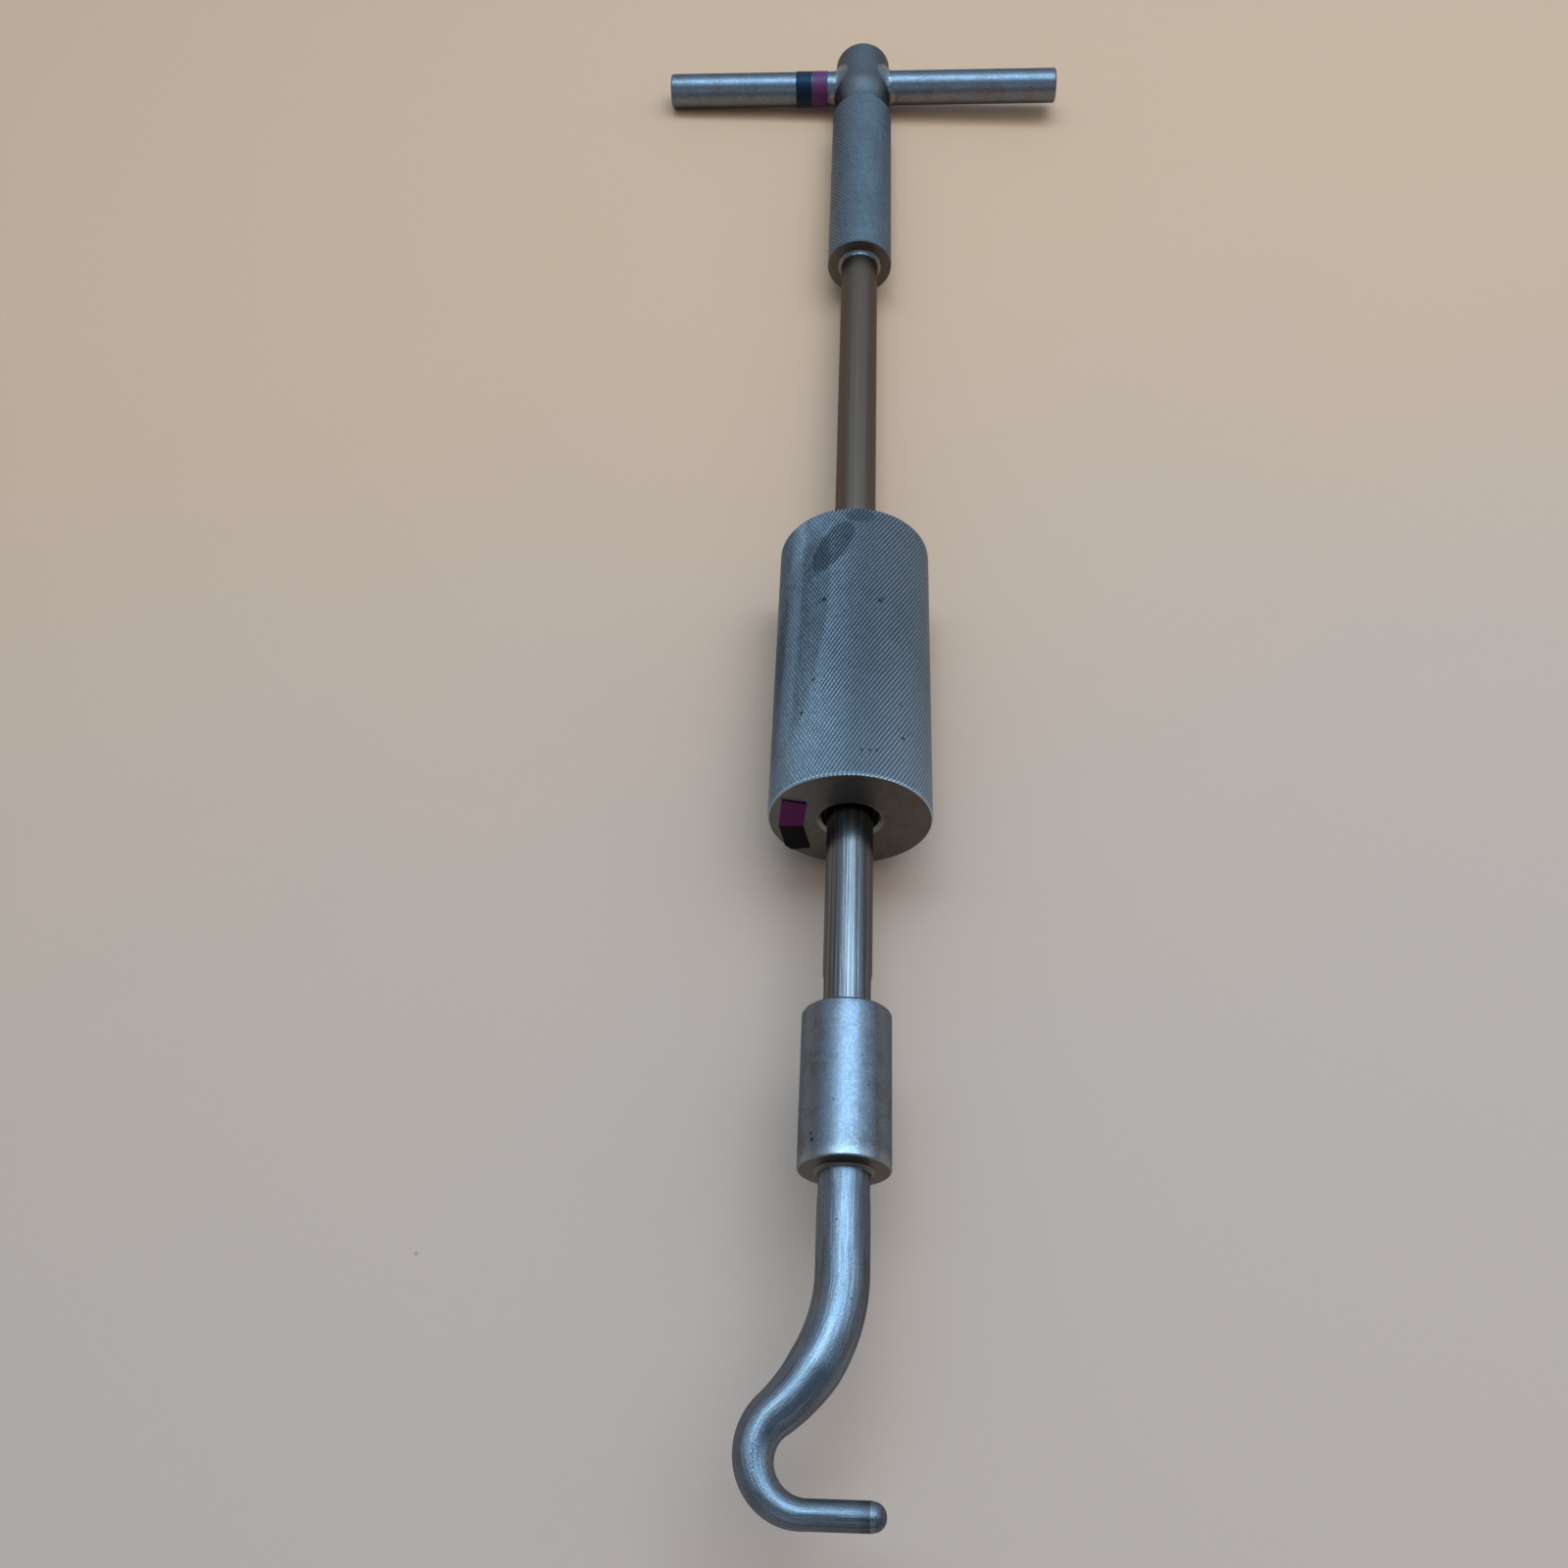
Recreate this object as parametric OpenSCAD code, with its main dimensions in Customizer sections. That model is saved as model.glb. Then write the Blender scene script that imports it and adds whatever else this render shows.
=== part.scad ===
// Slap hammer: a hook on a guide rod, a sliding striking weight and a cross handle.
// Millimetres. The origin is where the rod's axis crosses the axis of the hook's tip,
// which is the line of pull. +Y runs along the rod to the cross handle, +X runs the way
// the hook's tip points, and +Z is square to the plane of the hook and the cross bar.

/* [Hook] */
// Diameter of the hook's neck
hook_d = 12.7; // [11:0.1:14]
// Diameter of the hook's tip
tip_d = 6.35; // [5.8:0.05:8]
// Length of the straight neck, from the collar to the first bend
neck_len = 23.8; // [10:0.1:50]
// Centre-line radius of the bend that leads away from the rod's axis
lead_r = 40; // [30:0.5:60]
// Centre-line radius of the hook's bowl
bowl_r = 11.2; // [10:0.1:14]
// How far the bowl's centre stands to the side of the rod's axis
bowl_offset = 7.3; // [5:0.1:10]
// Reach of the tip past the rod's axis
tip_reach = 10.2; // [6:0.1:20]
// Radius of the rounding at the tip's end
tip_round = 2.7; // [1:0.1:2.8]
// Share of the bent length over which the neck keeps its full diameter
full_share = 0.35; // [0:0.05:0.8]

/* [Striking collar] */
// Diameter of the collar
collar_d = 22.7; // [20:0.1:30]
// Length of the collar
collar_len = 40.5; // [38:0.5:60]
// Rounding of the collar's edges
collar_round = 0.8; // [0.2:0.1:1.5]
// Diameter of the screwed studs of the hook and of the rod
stud_d = 9.525; // [8:0.1:10.5]
// Length of each stud in the collar
stud_len = 16; // [12:0.5:17]

/* [Guide rod] */
// Diameter of the rod
rod_d = 12.7; // [12.2:0.1:13.5]
// Free length of the rod, from the collar to the grip
rod_free = 293.7; // [260:0.1:400]
// Depth that the rod is seated in the grip
rod_seat = 25; // [12:0.5:40]
// Width across the two spanner flats
flats_across = 12; // [11.6:0.1:12.1]
// Length of the spanner flats
flats_len = 10; // [6:0.5:14]

/* [Slide weight] */
// Diameter of the weight over its knurl
weight_d = 45.2; // [38:0.1:60]
// Length of the weight
weight_len = 95.25; // [70:0.25:130]
// Gap between the collar and the weight at rest
weight_gap = 58.1; // [5:0.1:120]
// Rounding of the weight's edges
weight_round = 1; // [0.3:0.1:2]
// Width of the chamfer at each mouth of the weight's bore
mouth_chamfer = 0.6; // [0.2:0.1:1.5]

/* [Guide bushes] */
// Outer diameter of each guide bush
bush_d = 15.875; // [15.5:0.005:17]
// Length of each guide bush
bush_len = 25.4; // [10:0.1:30]
// Depth of each bush below the weight's end face
bush_depth = 5; // [2:0.5:10]

/* [Handle] */
// Diameter of the grip over its knurl
grip_d = 22.75; // [21.5:0.05:30]
// Length of the knurled grip
grip_len = 90; // [70:0.5:130]
// Chamfer round the knurled grip's two ends
grip_chamfer = 0.4; // [0.3:0.1:1.2]
// Diameter of the waist behind the knurl
waist_d = 18.2; // [16:0.1:19]
// Length of the plain part of the waist
waist_len = 2; // [1:0.1:6]
// Length over which the waist swells to the hub
swell_len = 13; // [6:0.1:14]
// Diameter of the smooth hub
hub_d = 21; // [19.5:0.1:22.5]
// Length of the smooth hub
hub_len = 37.6; // [30:0.1:60]
// Rounding of the hub's end
hub_round = 3; // [0.5:0.1:5]
// Distance from the cross bar's axis to the hub's end
bar_to_end = 16.4; // [14:0.1:20]

/* [Cross bar] */
// Diameter of the cross bar
bar_d = 12.7; // [10:0.1:14]
// Length of the cross bar
bar_len = 152.4; // [110:0.1:220]
// Rounding of the cross bar's ends
bar_round = 0.8; // [0.2:0.1:1.5]

/* [Tape] */
// Thickness of the tape
tape_t = 0.25; // [0.1:0.05:0.5]
// Width of each tape band round the cross bar
band_w = 6.3; // [3:0.1:9]
// Distance from the hub's side to the nearer band
band_gap = 3.2; // [3:0.1:20]
// Width of the tape marks on the weight's face
mark_w = 6.7; // [4:0.1:8]
// Length of each tape mark
mark_len = 12; // [8:0.1:14]
// How far the marks stand outside the collar's radius
mark_clear = 1.6; // [1:0.1:3]
// Height of the joint between the two marks, from the rod's axis
mark_z = -2.5; // [-5:0.1:5]
// Lean of the upper and of the lower mark, in degrees
upper_lean = 6.5; // [0:0.5:10]
lower_lean = 8; // [0:0.5:10]

/* [Hidden] */

$fn = 96;

// Clearance of the fixed seats, of the studs in their holes, and of the rod in its bushes
// and the bushes in the weight.
seat_gap = 0.02;
stud_gap = 0.05;
run_gap = 0.05;
// Clearance of the cross bar's beads, whose sides are flat, on the round faces they sit on.
bead_gap = 0.06;
// Overrun of every cut.
cut = 1;
// Full widths of the beads round the hook's neck, the rod and the cross bar.
neck_bead = 1.5;
rod_bead = 1.3;
bar_bead = 2.4;
// Depth of the drilled hole past each stud's tip.
drill_depth = 1.5;
// Steps of the swell from the waist to the hub.
swell_steps = 10;
// Sides and steps of the hook's bent stretch.
hook_sides = 32;
lead_steps = 10;
bowl_steps = 22;
// How far the bent stretch's flat sides stand inside the round neck.
facet_inset_share = 0.002;
// Steps round and across the cross bar's weld beads.
weld_sides = 36;
weld_base_steps = 3;
weld_face_steps = 5;
// Share of a round bead's width that its hollow face is cut with, and share of the hub's
// step beside the cross bar that a bead may fill.
bead_hollow_share = 0.85;
bead_fill_share = 0.9;

// The hook's centre line. The lead bend turns by the angle that makes it tangent to the
// bowl, whose centre is one bowl radius behind the tip's axis.
lead_y = sqrt(pow(lead_r + bowl_r, 2) - pow(lead_r - bowl_offset, 2)) + bowl_r;
lead_turn = acos((lead_r - bowl_offset) / (lead_r + bowl_r));
bowl_turn = 90 + lead_turn;
lead_arc = lead_r * lead_turn * PI / 180;
bowl_arc = bowl_r * bowl_turn * PI / 180;
bent_len = lead_arc + bowl_arc;

// Places along the rod.
collar_y = lead_y + neck_len;
rod_y = collar_y + collar_len;
weight_y = rod_y + weight_gap;
grip_y = rod_y + rod_free;
hub_y = grip_y + grip_len;
hub_end_y = hub_y + hub_len;
bar_y = hub_end_y - bar_to_end;

// What fits in or over something else.
stud_fit_d = stud_d - 2 * stud_gap;
bush_bore_d = rod_d + 2 * run_gap;
weight_bore_d = bush_d + 2 * run_gap;
rod_bead_w = min(rod_bead, (grip_d - rod_d) / 2 - grip_chamfer - seat_gap);
bar_bead_w = min(bar_bead, (hub_d - bar_d) / 2 * bead_fill_share);
band_x = hub_d / 2 + band_gap;
mark_x = collar_d / 2 + mark_clear + mark_w / 2;

// Points along the bent stretch: x, y, heading and path length for each step.
function lead_point(a) = [
    lead_r * (cos(a) - 1),
    lead_y - lead_r * sin(a),
    270 - a,
    lead_r * a * PI / 180];
function bowl_point(b) = [
    -bowl_offset - bowl_r * cos(b - lead_turn),
    bowl_r - bowl_r * sin(b - lead_turn),
    270 - lead_turn + b,
    lead_arc + bowl_r * b * PI / 180];
bent_points = concat(
    [for (i = [0 : lead_steps]) lead_point(lead_turn * i / lead_steps)],
    [for (i = [1 : bowl_steps]) bowl_point(bowl_turn * i / bowl_steps)]);

// The neck keeps its diameter, then tapers evenly to the tip.
function taper(s) = max(0, s / bent_len - full_share) / (1 - full_share);
function bent_r(s) = (hook_d + (tip_d - hook_d) * taper(s)) / 2 * (1 - facet_inset_share);

// One ring of the sweep, square to the heading.
function ring(p) = [for (k = [0 : hook_sides - 1])
    let (a = 360 * k / hook_sides, r = bent_r(p[3]), side = p[2] + 90)
    [p[0] + r * cos(a) * cos(side), p[1] + r * cos(a) * sin(side), r * sin(a)]];

function flatten(lists) = [for (list = lists) for (item = list) item];

module bent_stretch() {
    rings = len(bent_points);
    points = flatten([for (p = bent_points) ring(p)]);
    sides = [for (i = [0 : rings - 2]) for (k = [0 : hook_sides - 1])
        let (n = (k + 1) % hook_sides, a = i * hook_sides, b = a + hook_sides)
        each [[a + k, b + k, b + n], [a + k, b + n, a + n]]];
    first = [[for (k = [0 : hook_sides - 1]) k]];
    last = [[for (k = [hook_sides - 1 : -1 : 0]) (rings - 1) * hook_sides + k]];
    polyhedron(points, concat(first, sides, last));
}

// A plain round bar along Y.
module round_y(d, from, to) {
    translate([0, from, 0]) rotate([-90, 0, 0]) cylinder(d = d, h = to - from);
}

// Turns a half outline, drawn as radius and distance, about the Y axis.
module turn_y() {
    rotate([-90, 0, 0]) rotate_extrude() children();
}

// The same about the X axis.
module turn_x() {
    rotate([0, 90, 0]) rotate_extrude() children();
}

// Half outline of a round bar, with its edges rounded at either end.
module bar_outline(d, from, to, round_from, round_to) {
    difference() {
        translate([0, from]) square([d / 2, to - from]);
        if (round_from > 0) corner_cut(d / 2, from, round_from, 1);
        if (round_to > 0) corner_cut(d / 2, to, round_to, -1);
    }
}

// What a rounding of radius r takes from the corner at (edge, place).
module corner_cut(edge, place, r, way) {
    difference() {
        translate([edge - r, way > 0 ? place - cut : place - r]) square([r + cut, r + cut]);
        translate([edge - r, place + way * r]) circle(r);
    }
}

// Half outline of a bead with a hollow face, on a bar of diameter d and standing towards
// the hook on a face at place.
module bead_outline(d, place, w) {
    inner = d / 2 + seat_gap;
    near = place - seat_gap;
    difference() {
        polygon([[inner, near], [inner + w, near], [inner, near - w]]);
        translate([inner + w, near - w]) circle(w * bead_hollow_share);
    }
}

// Half outline of the chamfer in a bore's mouth, at either end of the bore.
module mouth_cut(d, place, chamfer, way) {
    polygon([[d / 2 - cut, place - way * cut], [d / 2 + chamfer + cut, place - way * cut],
        [d / 2 - cut, place + way * (chamfer + cut)]]);
}

module hook() {
    color("lightsteelblue") {
        round_y(hook_d, lead_y, collar_y);
        round_y(stud_fit_d, collar_y - cut, collar_y + stud_len);
        bent_stretch();
        translate([-bowl_offset, 0, 0])
            turn_x() bar_outline(tip_d, 0, bowl_offset + tip_reach, 0, tip_round);
    }
}

module hook_weld() {
    color("silver") turn_y() bead_outline(hook_d, collar_y, neck_bead);
}

module striking_collar() {
    color("lightgray") difference() {
        turn_y() bar_outline(collar_d, collar_y, rod_y, collar_round, collar_round);
        round_y(stud_d, collar_y - cut, collar_y + stud_len + drill_depth);
        round_y(stud_d, rod_y - stud_len - drill_depth, rod_y + cut);
    }
}

module guide_rod() {
    flat_cut = (rod_d - flats_across) / 2;
    color("rosybrown") difference() {
        union() {
            round_y(rod_d, rod_y, grip_y + rod_seat);
            round_y(stud_fit_d, rod_y - stud_len, rod_y + cut);
        }
        for (side = [-1, 1])
            translate([side * (flats_across + flat_cut + cut) / 2, rod_y + flats_len / 2, 0])
                cube([flat_cut + cut, flats_len, rod_d + cut], center = true);
    }
}

module slide_weight() {
    color("slategray") turn_y() difference() {
        bar_outline(weight_d, weight_y, weight_y + weight_len, weight_round, weight_round);
        translate([0, weight_y - cut]) square([weight_bore_d / 2, weight_len + 2 * cut]);
        mouth_cut(weight_bore_d, weight_y, mouth_chamfer, 1);
        mouth_cut(weight_bore_d, weight_y + weight_len, mouth_chamfer, -1);
    }
}

module bush(from) {
    turn_y() translate([bush_bore_d / 2, from]) square([(bush_d - bush_bore_d) / 2, bush_len]);
}

module lower_bush() {
    color("dimgray") bush(weight_y + bush_depth);
}

module upper_bush() {
    color("dimgray") bush(weight_y + weight_len - bush_depth - bush_len);
}

// A point of the swell from the waist to the hub, at this share of its length.
function swell_point(t) = [
    (waist_d + (hub_d - waist_d) * (1 - cos(180 * t)) / 2) / 2,
    hub_y + waist_len + swell_len * t];

module handle_grip() {
    swell_end_y = hub_y + waist_len + swell_len;
    color("slategray") difference() {
        turn_y() difference() {
            union() {
                polygon(concat([
                    [0, grip_y], [grip_d / 2 - grip_chamfer, grip_y],
                    [grip_d / 2, grip_y + grip_chamfer], [grip_d / 2, hub_y - grip_chamfer],
                    [grip_d / 2 - grip_chamfer, hub_y], [waist_d / 2, hub_y]],
                    [for (i = [0 : swell_steps]) swell_point(i / swell_steps)],
                    [[0, swell_end_y]]));
                bar_outline(hub_d, swell_end_y, hub_end_y, 0, hub_round);
            }
            translate([0, grip_y - cut]) square([rod_d / 2 + seat_gap, rod_seat + cut]);
        }
        translate([-grip_d, bar_y, 0]) rotate([0, 90, 0])
            cylinder(d = bar_d + 2 * seat_gap, h = 2 * grip_d);
    }
}

module rod_weld() {
    color("silver") turn_y() bead_outline(rod_d, grip_y, rod_bead_w);
}

module cross_bar() {
    color("silver") translate([-bar_len / 2, bar_y, 0])
        turn_x() bar_outline(bar_d, 0, bar_len, bar_round, bar_round);
}

// A bead round the cross bar against the hub's round side. Its face is a quarter round of
// the bead's width, laid along the hub: zero thick at its rim and the full width at the bar.
function hub_reach(z) = sqrt(pow(hub_d / 2 + bead_gap, 2) - z * z);
function saddle(from_bar, thick, a) = let (r = bar_d / 2 + bead_gap + from_bar)
    [hub_reach(r * sin(a)) + thick, r * cos(a), r * sin(a)];
function weld_section(a) = concat(
    [for (i = [0 : weld_base_steps]) saddle(bar_bead_w * i / weld_base_steps, 0, a)],
    [for (i = [1 : weld_face_steps]) let (t = 90 * i / weld_face_steps)
        saddle(bar_bead_w * (1 - sin(t)), bar_bead_w * (1 - cos(t)), a)]);

module bar_weld() {
    count = weld_base_steps + 1 + weld_face_steps;
    points = flatten([for (i = [0 : weld_sides - 1]) weld_section(360 * i / weld_sides)]);
    faces = [for (i = [0 : weld_sides - 1]) for (k = [0 : count - 1])
        let (a = i * count, b = (i + 1) % weld_sides * count, n = (k + 1) % count)
        each [[a + k, b + n, b + k], [a + k, a + n, b + n]]];
    color("silver") translate([0, bar_y, 0]) polyhedron(points, faces);
}

module left_bar_weld() {
    mirror([1, 0, 0]) bar_weld();
}

module right_bar_weld() {
    bar_weld();
}

// A ring of tape round the cross bar, whose nearer edge is this far left of the rod's axis.
module band(from) {
    translate([-from - band_w, bar_y, 0]) turn_x()
        translate([bar_d / 2 + seat_gap, 0]) square([tape_t, band_w - seat_gap]);
}

module purple_band() {
    color("purple") band(band_x);
}

module black_band() {
    color("black") band(band_x + band_w);
}

// A tape mark on the weight's lower face, trimmed to the flat of that face. It starts at
// a height, runs up or down from it and leans.
module mark(start, way, lean) {
    intersection() {
        translate([-mark_x, weight_y - tape_t, start]) rotate([0, lean, 0])
            translate([-mark_w / 2, 0, way > 0 ? 0 : -mark_len]) cube([mark_w, tape_t, mark_len]);
        round_y(weight_d - 2 * weight_round, weight_y - tape_t - cut, weight_y);
    }
}

module purple_mark() {
    color("purple") mark(mark_z, 1, upper_lean);
}

module black_mark() {
    drop = mark_w / 2 * (sin(upper_lean) + sin(lower_lean)) + seat_gap;
    color("black") mark(mark_z - drop, -1, -lower_lean);
}

hook();
hook_weld();
striking_collar();
guide_rod();
slide_weight();
lower_bush();
upper_bush();
handle_grip();
rod_weld();
cross_bar();
left_bar_weld();
right_bar_weld();
black_band();
purple_band();
purple_mark();
black_mark();
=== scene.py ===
import math

import bmesh
import bpy
import numpy as np
from bpy.props import FloatProperty, FloatVectorProperty, IntProperty, PointerProperty
from bpy.types import Operator, Panel, PropertyGroup
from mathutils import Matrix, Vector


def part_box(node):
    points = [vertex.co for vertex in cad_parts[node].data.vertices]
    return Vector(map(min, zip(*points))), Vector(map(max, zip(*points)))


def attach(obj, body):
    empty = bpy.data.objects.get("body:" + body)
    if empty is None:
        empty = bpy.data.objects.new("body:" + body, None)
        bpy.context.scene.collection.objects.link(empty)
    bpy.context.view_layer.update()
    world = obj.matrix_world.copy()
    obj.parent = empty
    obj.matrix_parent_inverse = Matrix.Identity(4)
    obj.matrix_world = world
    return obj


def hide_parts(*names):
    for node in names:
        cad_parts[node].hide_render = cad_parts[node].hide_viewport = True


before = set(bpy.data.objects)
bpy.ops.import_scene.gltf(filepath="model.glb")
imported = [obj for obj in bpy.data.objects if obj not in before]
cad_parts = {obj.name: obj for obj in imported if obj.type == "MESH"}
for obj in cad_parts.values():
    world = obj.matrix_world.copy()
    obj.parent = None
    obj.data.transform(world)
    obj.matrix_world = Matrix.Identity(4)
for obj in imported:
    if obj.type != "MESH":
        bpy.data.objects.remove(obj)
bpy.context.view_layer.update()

bl_info = {
    "name": "Slap hammer",
    "version": (1, 0, 0),
    "blender": (4, 5, 0),
    "location": "3D View > Sidebar > Slap hammer",
    "description": "Finely shaped and finished pieces of a slap hammer on its packed frame",
    "category": "Object",
}

MM = 0.001
TURN = 2 * math.pi
SEED = 7
# Gap left where one dressed piece sits in or on another
GAP = 0.02 * MM
# Radius at which the floor of a blind hole closes
CORE = 0.2 * MM
# Chamfer on the ends of the two studs
STUD_CHAMFER = 0.6 * MM
# Margin kept clear at each side of a UV map, and what lies between
UV_MARGIN = 0.001
UV_SPAN = 1 - 2 * UV_MARGIN


# Places read from the frame

def node_span(node, axis):
    """Lowest and highest place of a CAD node along one axis, in metres."""
    low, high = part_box(node)
    return low[axis], high[axis]


def node_radius(node):
    """Radius of a round CAD node, from its height above the rod's axis."""
    return node_span(node, 2)[1]


COLLAR_Y, ROD_Y = node_span("striking_collar", 1)
WEIGHT_Y, WEIGHT_END_Y = node_span("slide_weight", 1)
GRIP_Y, HUB_END_Y = node_span("handle_grip", 1)
BAR_Y = sum(node_span("cross_bar", 1)) / 2
STUD_START_Y, ROD_END_Y = node_span("guide_rod", 1)
STUD_END_Y = node_span("hook", 1)[1]


# Kinds of property

def length(name, description, millimetres):
    return FloatProperty(
        name=name, description=description, default=millimetres * MM, min=0.0, max=1.0,
        unit="LENGTH", precision=5)


def power(name, description, value):
    return FloatProperty(
        name=name, description=description, default=value, min=0.0, unit="POWER")


def angle(name, description, degrees):
    return FloatProperty(
        name=name, description=description, default=math.radians(degrees),
        min=0.0, max=math.pi, subtype="ANGLE")


def colour(name, description, value):
    return FloatVectorProperty(
        name=name, description=description, default=value, size=3, min=0.0, max=1.0,
        subtype="COLOR")


def share(name, description, value):
    return FloatProperty(
        name=name, description=description, default=value, min=0.0, max=1.0,
        subtype="FACTOR")


def count(name, description, value):
    return IntProperty(name=name, description=description, default=value, min=3, max=400)


# Sizes and colours that a user would change

class HookSizes(PropertyGroup):
    neck_radius: length("Neck radius", "Radius of the hook's bar at the neck", 6.35)
    tip_radius: length("Tip radius", "Radius of the hook's tip", 3.175)
    lead_radius: length("Lead bend", "Bend radius of the lead to the bowl", 40)
    bowl_radius: length("Bowl bend", "Bend radius of the bowl's centre line", 11.2)
    bowl_offset: length("Bowl offset", "Distance of the bowl's centre from the axis", 7.3)
    tip_reach: length("Tip reach", "How far the tip passes the rod's axis", 10.2)
    tip_round: length("Tip rounding", "Rounding of the tip's end", 3.0)
    full_share: share("Full share", "Share of the bent length before the taper starts", 0.35)
    stud_radius: length("Stud radius", "Radius of the stud inside the collar", 4.7125)
    sides: count("Sides", "Sides of the bar's round surface", 72)


class CollarSizes(PropertyGroup):
    lower_edge: length("Lower edge", "Rounding of the collar's lower edge", 0.45)
    upper_edge: length("Upper edge", "Rounding of the struck upper edge", 0.9)
    bore_radius: length("Bore radius", "Radius of the two stud holes", 4.7625)
    bore_depth: length("Bore depth", "Depth of each stud hole", 17.5)
    sides: count("Sides", "Sides of the collar's round surface", 160)


class RodSizes(PropertyGroup):
    radius: length("Radius", "Radius of the guide rod", 6.35)
    flats_across: length("Across flats", "Distance between the two spanner flats", 12)
    flats_length: length("Flat length", "Length of the spanner flats", 10)
    run_out: length("Run-out", "Length over which the flats run out", 1.2)
    sides: count("Sides", "Sides of the rod and of the beads turned round it", 120)


class KnurlSizes(PropertyGroup):
    weight_starts: count("Weight starts", "Grooves round the weight, each way", 117)
    grip_starts: count("Grip starts", "Grooves round the grip, each way", 55)
    helix: angle("Helix angle", "Angle of the grooves to the length", 31.3)
    weight_depth: length("Weight depth", "Depth of the weight's knurl", 0.36)
    grip_depth: length("Grip depth", "Depth of the grip's knurl", 0.15)
    wear: length("Wear", "Most that wear takes off a point of the knurl", 0.06)
    notch: share("Notch", "Depth of the shallower grooves as a share of the others'", 0.3)


class WeightSizes(PropertyGroup):
    bore_radius: length("Bore radius", "Radius of the weight's bore", 7.9875)
    mouth: length("Mouth chamfer", "Chamfer in the bore's mouths", 0.9)
    rim: length("Rim chamfer", "Chamfer of the weight's rims", 0.45)


class GripSizes(PropertyGroup):
    knurl_length: length("Knurled length", "Length of the knurled grip", 90)
    rim: length("Rim chamfer", "Chamfer of the grip's two rims", 0.4)
    waist_radius: length("Waist radius", "Radius of the waist behind the knurl", 9.0)
    waist_length: length("Waist length", "Length of the plain part of the waist", 3.5)
    swell_length: length("Swell length", "Length of the swelling up to the hub", 11.5)
    hub_radius: length("Hub radius", "Radius of the smooth hub", 10.5)
    hub_round: length("Hub rounding", "Rounding of the hub's end", 3)


class BarSizes(PropertyGroup):
    end_round: length("End rounding", "Rounding of the cross bar's ends", 0.8)
    bead: length("Weld width", "Width of the weld beads beside the hub", 2.4)
    neck_bead: length("Neck weld width", "Width of the weld bead on the hook's neck", 1.15)
    rod_bead: length("Rod weld width", "Width of the weld bead on the grip's face", 1.3)
    sides: count("Sides", "Sides of the cross bar, its hole and its two beads", 96)


class TapeSizes(PropertyGroup):
    thickness: length("Thickness", "Thickness of the marking tape", 0.25)
    lap: angle("Lap", "How far a band's end laps over its start", 38)
    gap: length("Gap", "Clearance under the tape", 0.02)
    sides: count("Sides", "Sides of the bands round the cross bar", 144)


class Finishes(PropertyGroup):
    hook: colour("Hook", "Satin steel of the hook", (0.205, 0.235, 0.27))
    satin: colour("Satin steel", "Turned steel of the collar", (0.215, 0.243, 0.275))
    hub: colour("Hub steel", "Satin steel of the grip's hub", (0.19, 0.197, 0.207))
    bar: colour("Bar steel", "Satin steel of the cross bar", (0.18, 0.2, 0.23))
    polished: colour("Polished steel", "Ground steel of the guide rod", (0.26, 0.255, 0.25))
    knurled: colour("Knurled steel", "Matt steel of the weight and grip", (0.192, 0.213, 0.23))
    tarnish: colour("Tarnish", "Brownish film on worn faces", (0.145, 0.12, 0.098))
    # Grime also serves as painted shade: in the knurl's grooves and on the hook's tip and bowl
    grime_and_shade: colour("Grime", "Dark dirt in grooves and stains", (0.028, 0.034, 0.04))
    weld: colour("Weld", "Dressed weld beads", (0.25, 0.262, 0.275))
    plastic: colour("Bush plastic", "Dark bearing plastic", (0.025, 0.023, 0.022))
    black: colour("Black tape", "Black marking tape", (0.002, 0.0024, 0.003))
    purple: colour("Purple tape", "Purple marking tape", (0.083, 0.0085, 0.06))


class StageSettings(PropertyGroup):
    # The floor's two colours differ as painted light falling off across it
    far_floor: colour("Far floor", "Floor under the handle", (0.567, 0.362, 0.232))
    near_floor: colour("Near floor", "Floor under the hook", (0.482, 0.363, 0.292))
    lamp: colour("Lamp", "Tint of the overhead lamp", (0.45, 0.73, 1.0))
    fill: colour("Fill", "Tint of the fill lamp", (1.0, 0.9, 0.8))
    lamp_power: power("Lamp power", "Power of the overhead lamp", 8.6)
    fill_power: power("Fill power", "Power of the fill lamp", 12.0)


class SlapHammer(PropertyGroup):
    hook: PointerProperty(type=HookSizes)
    collar: PointerProperty(type=CollarSizes)
    rod: PointerProperty(type=RodSizes)
    knurl: PointerProperty(type=KnurlSizes)
    weight: PointerProperty(type=WeightSizes)
    grip: PointerProperty(type=GripSizes)
    bar: PointerProperty(type=BarSizes)
    tape: PointerProperty(type=TapeSizes)
    finish: PointerProperty(type=Finishes)
    stage: PointerProperty(type=StageSettings)


# Shader maths

def maths(operation, swapped=False):
    """A method for Wire that adds one Math node, with its values swapped if it's reflected."""
    def method(self, value):
        return self.sum(operation, *((value, self) if swapped else (self, value)))
    return method


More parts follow.
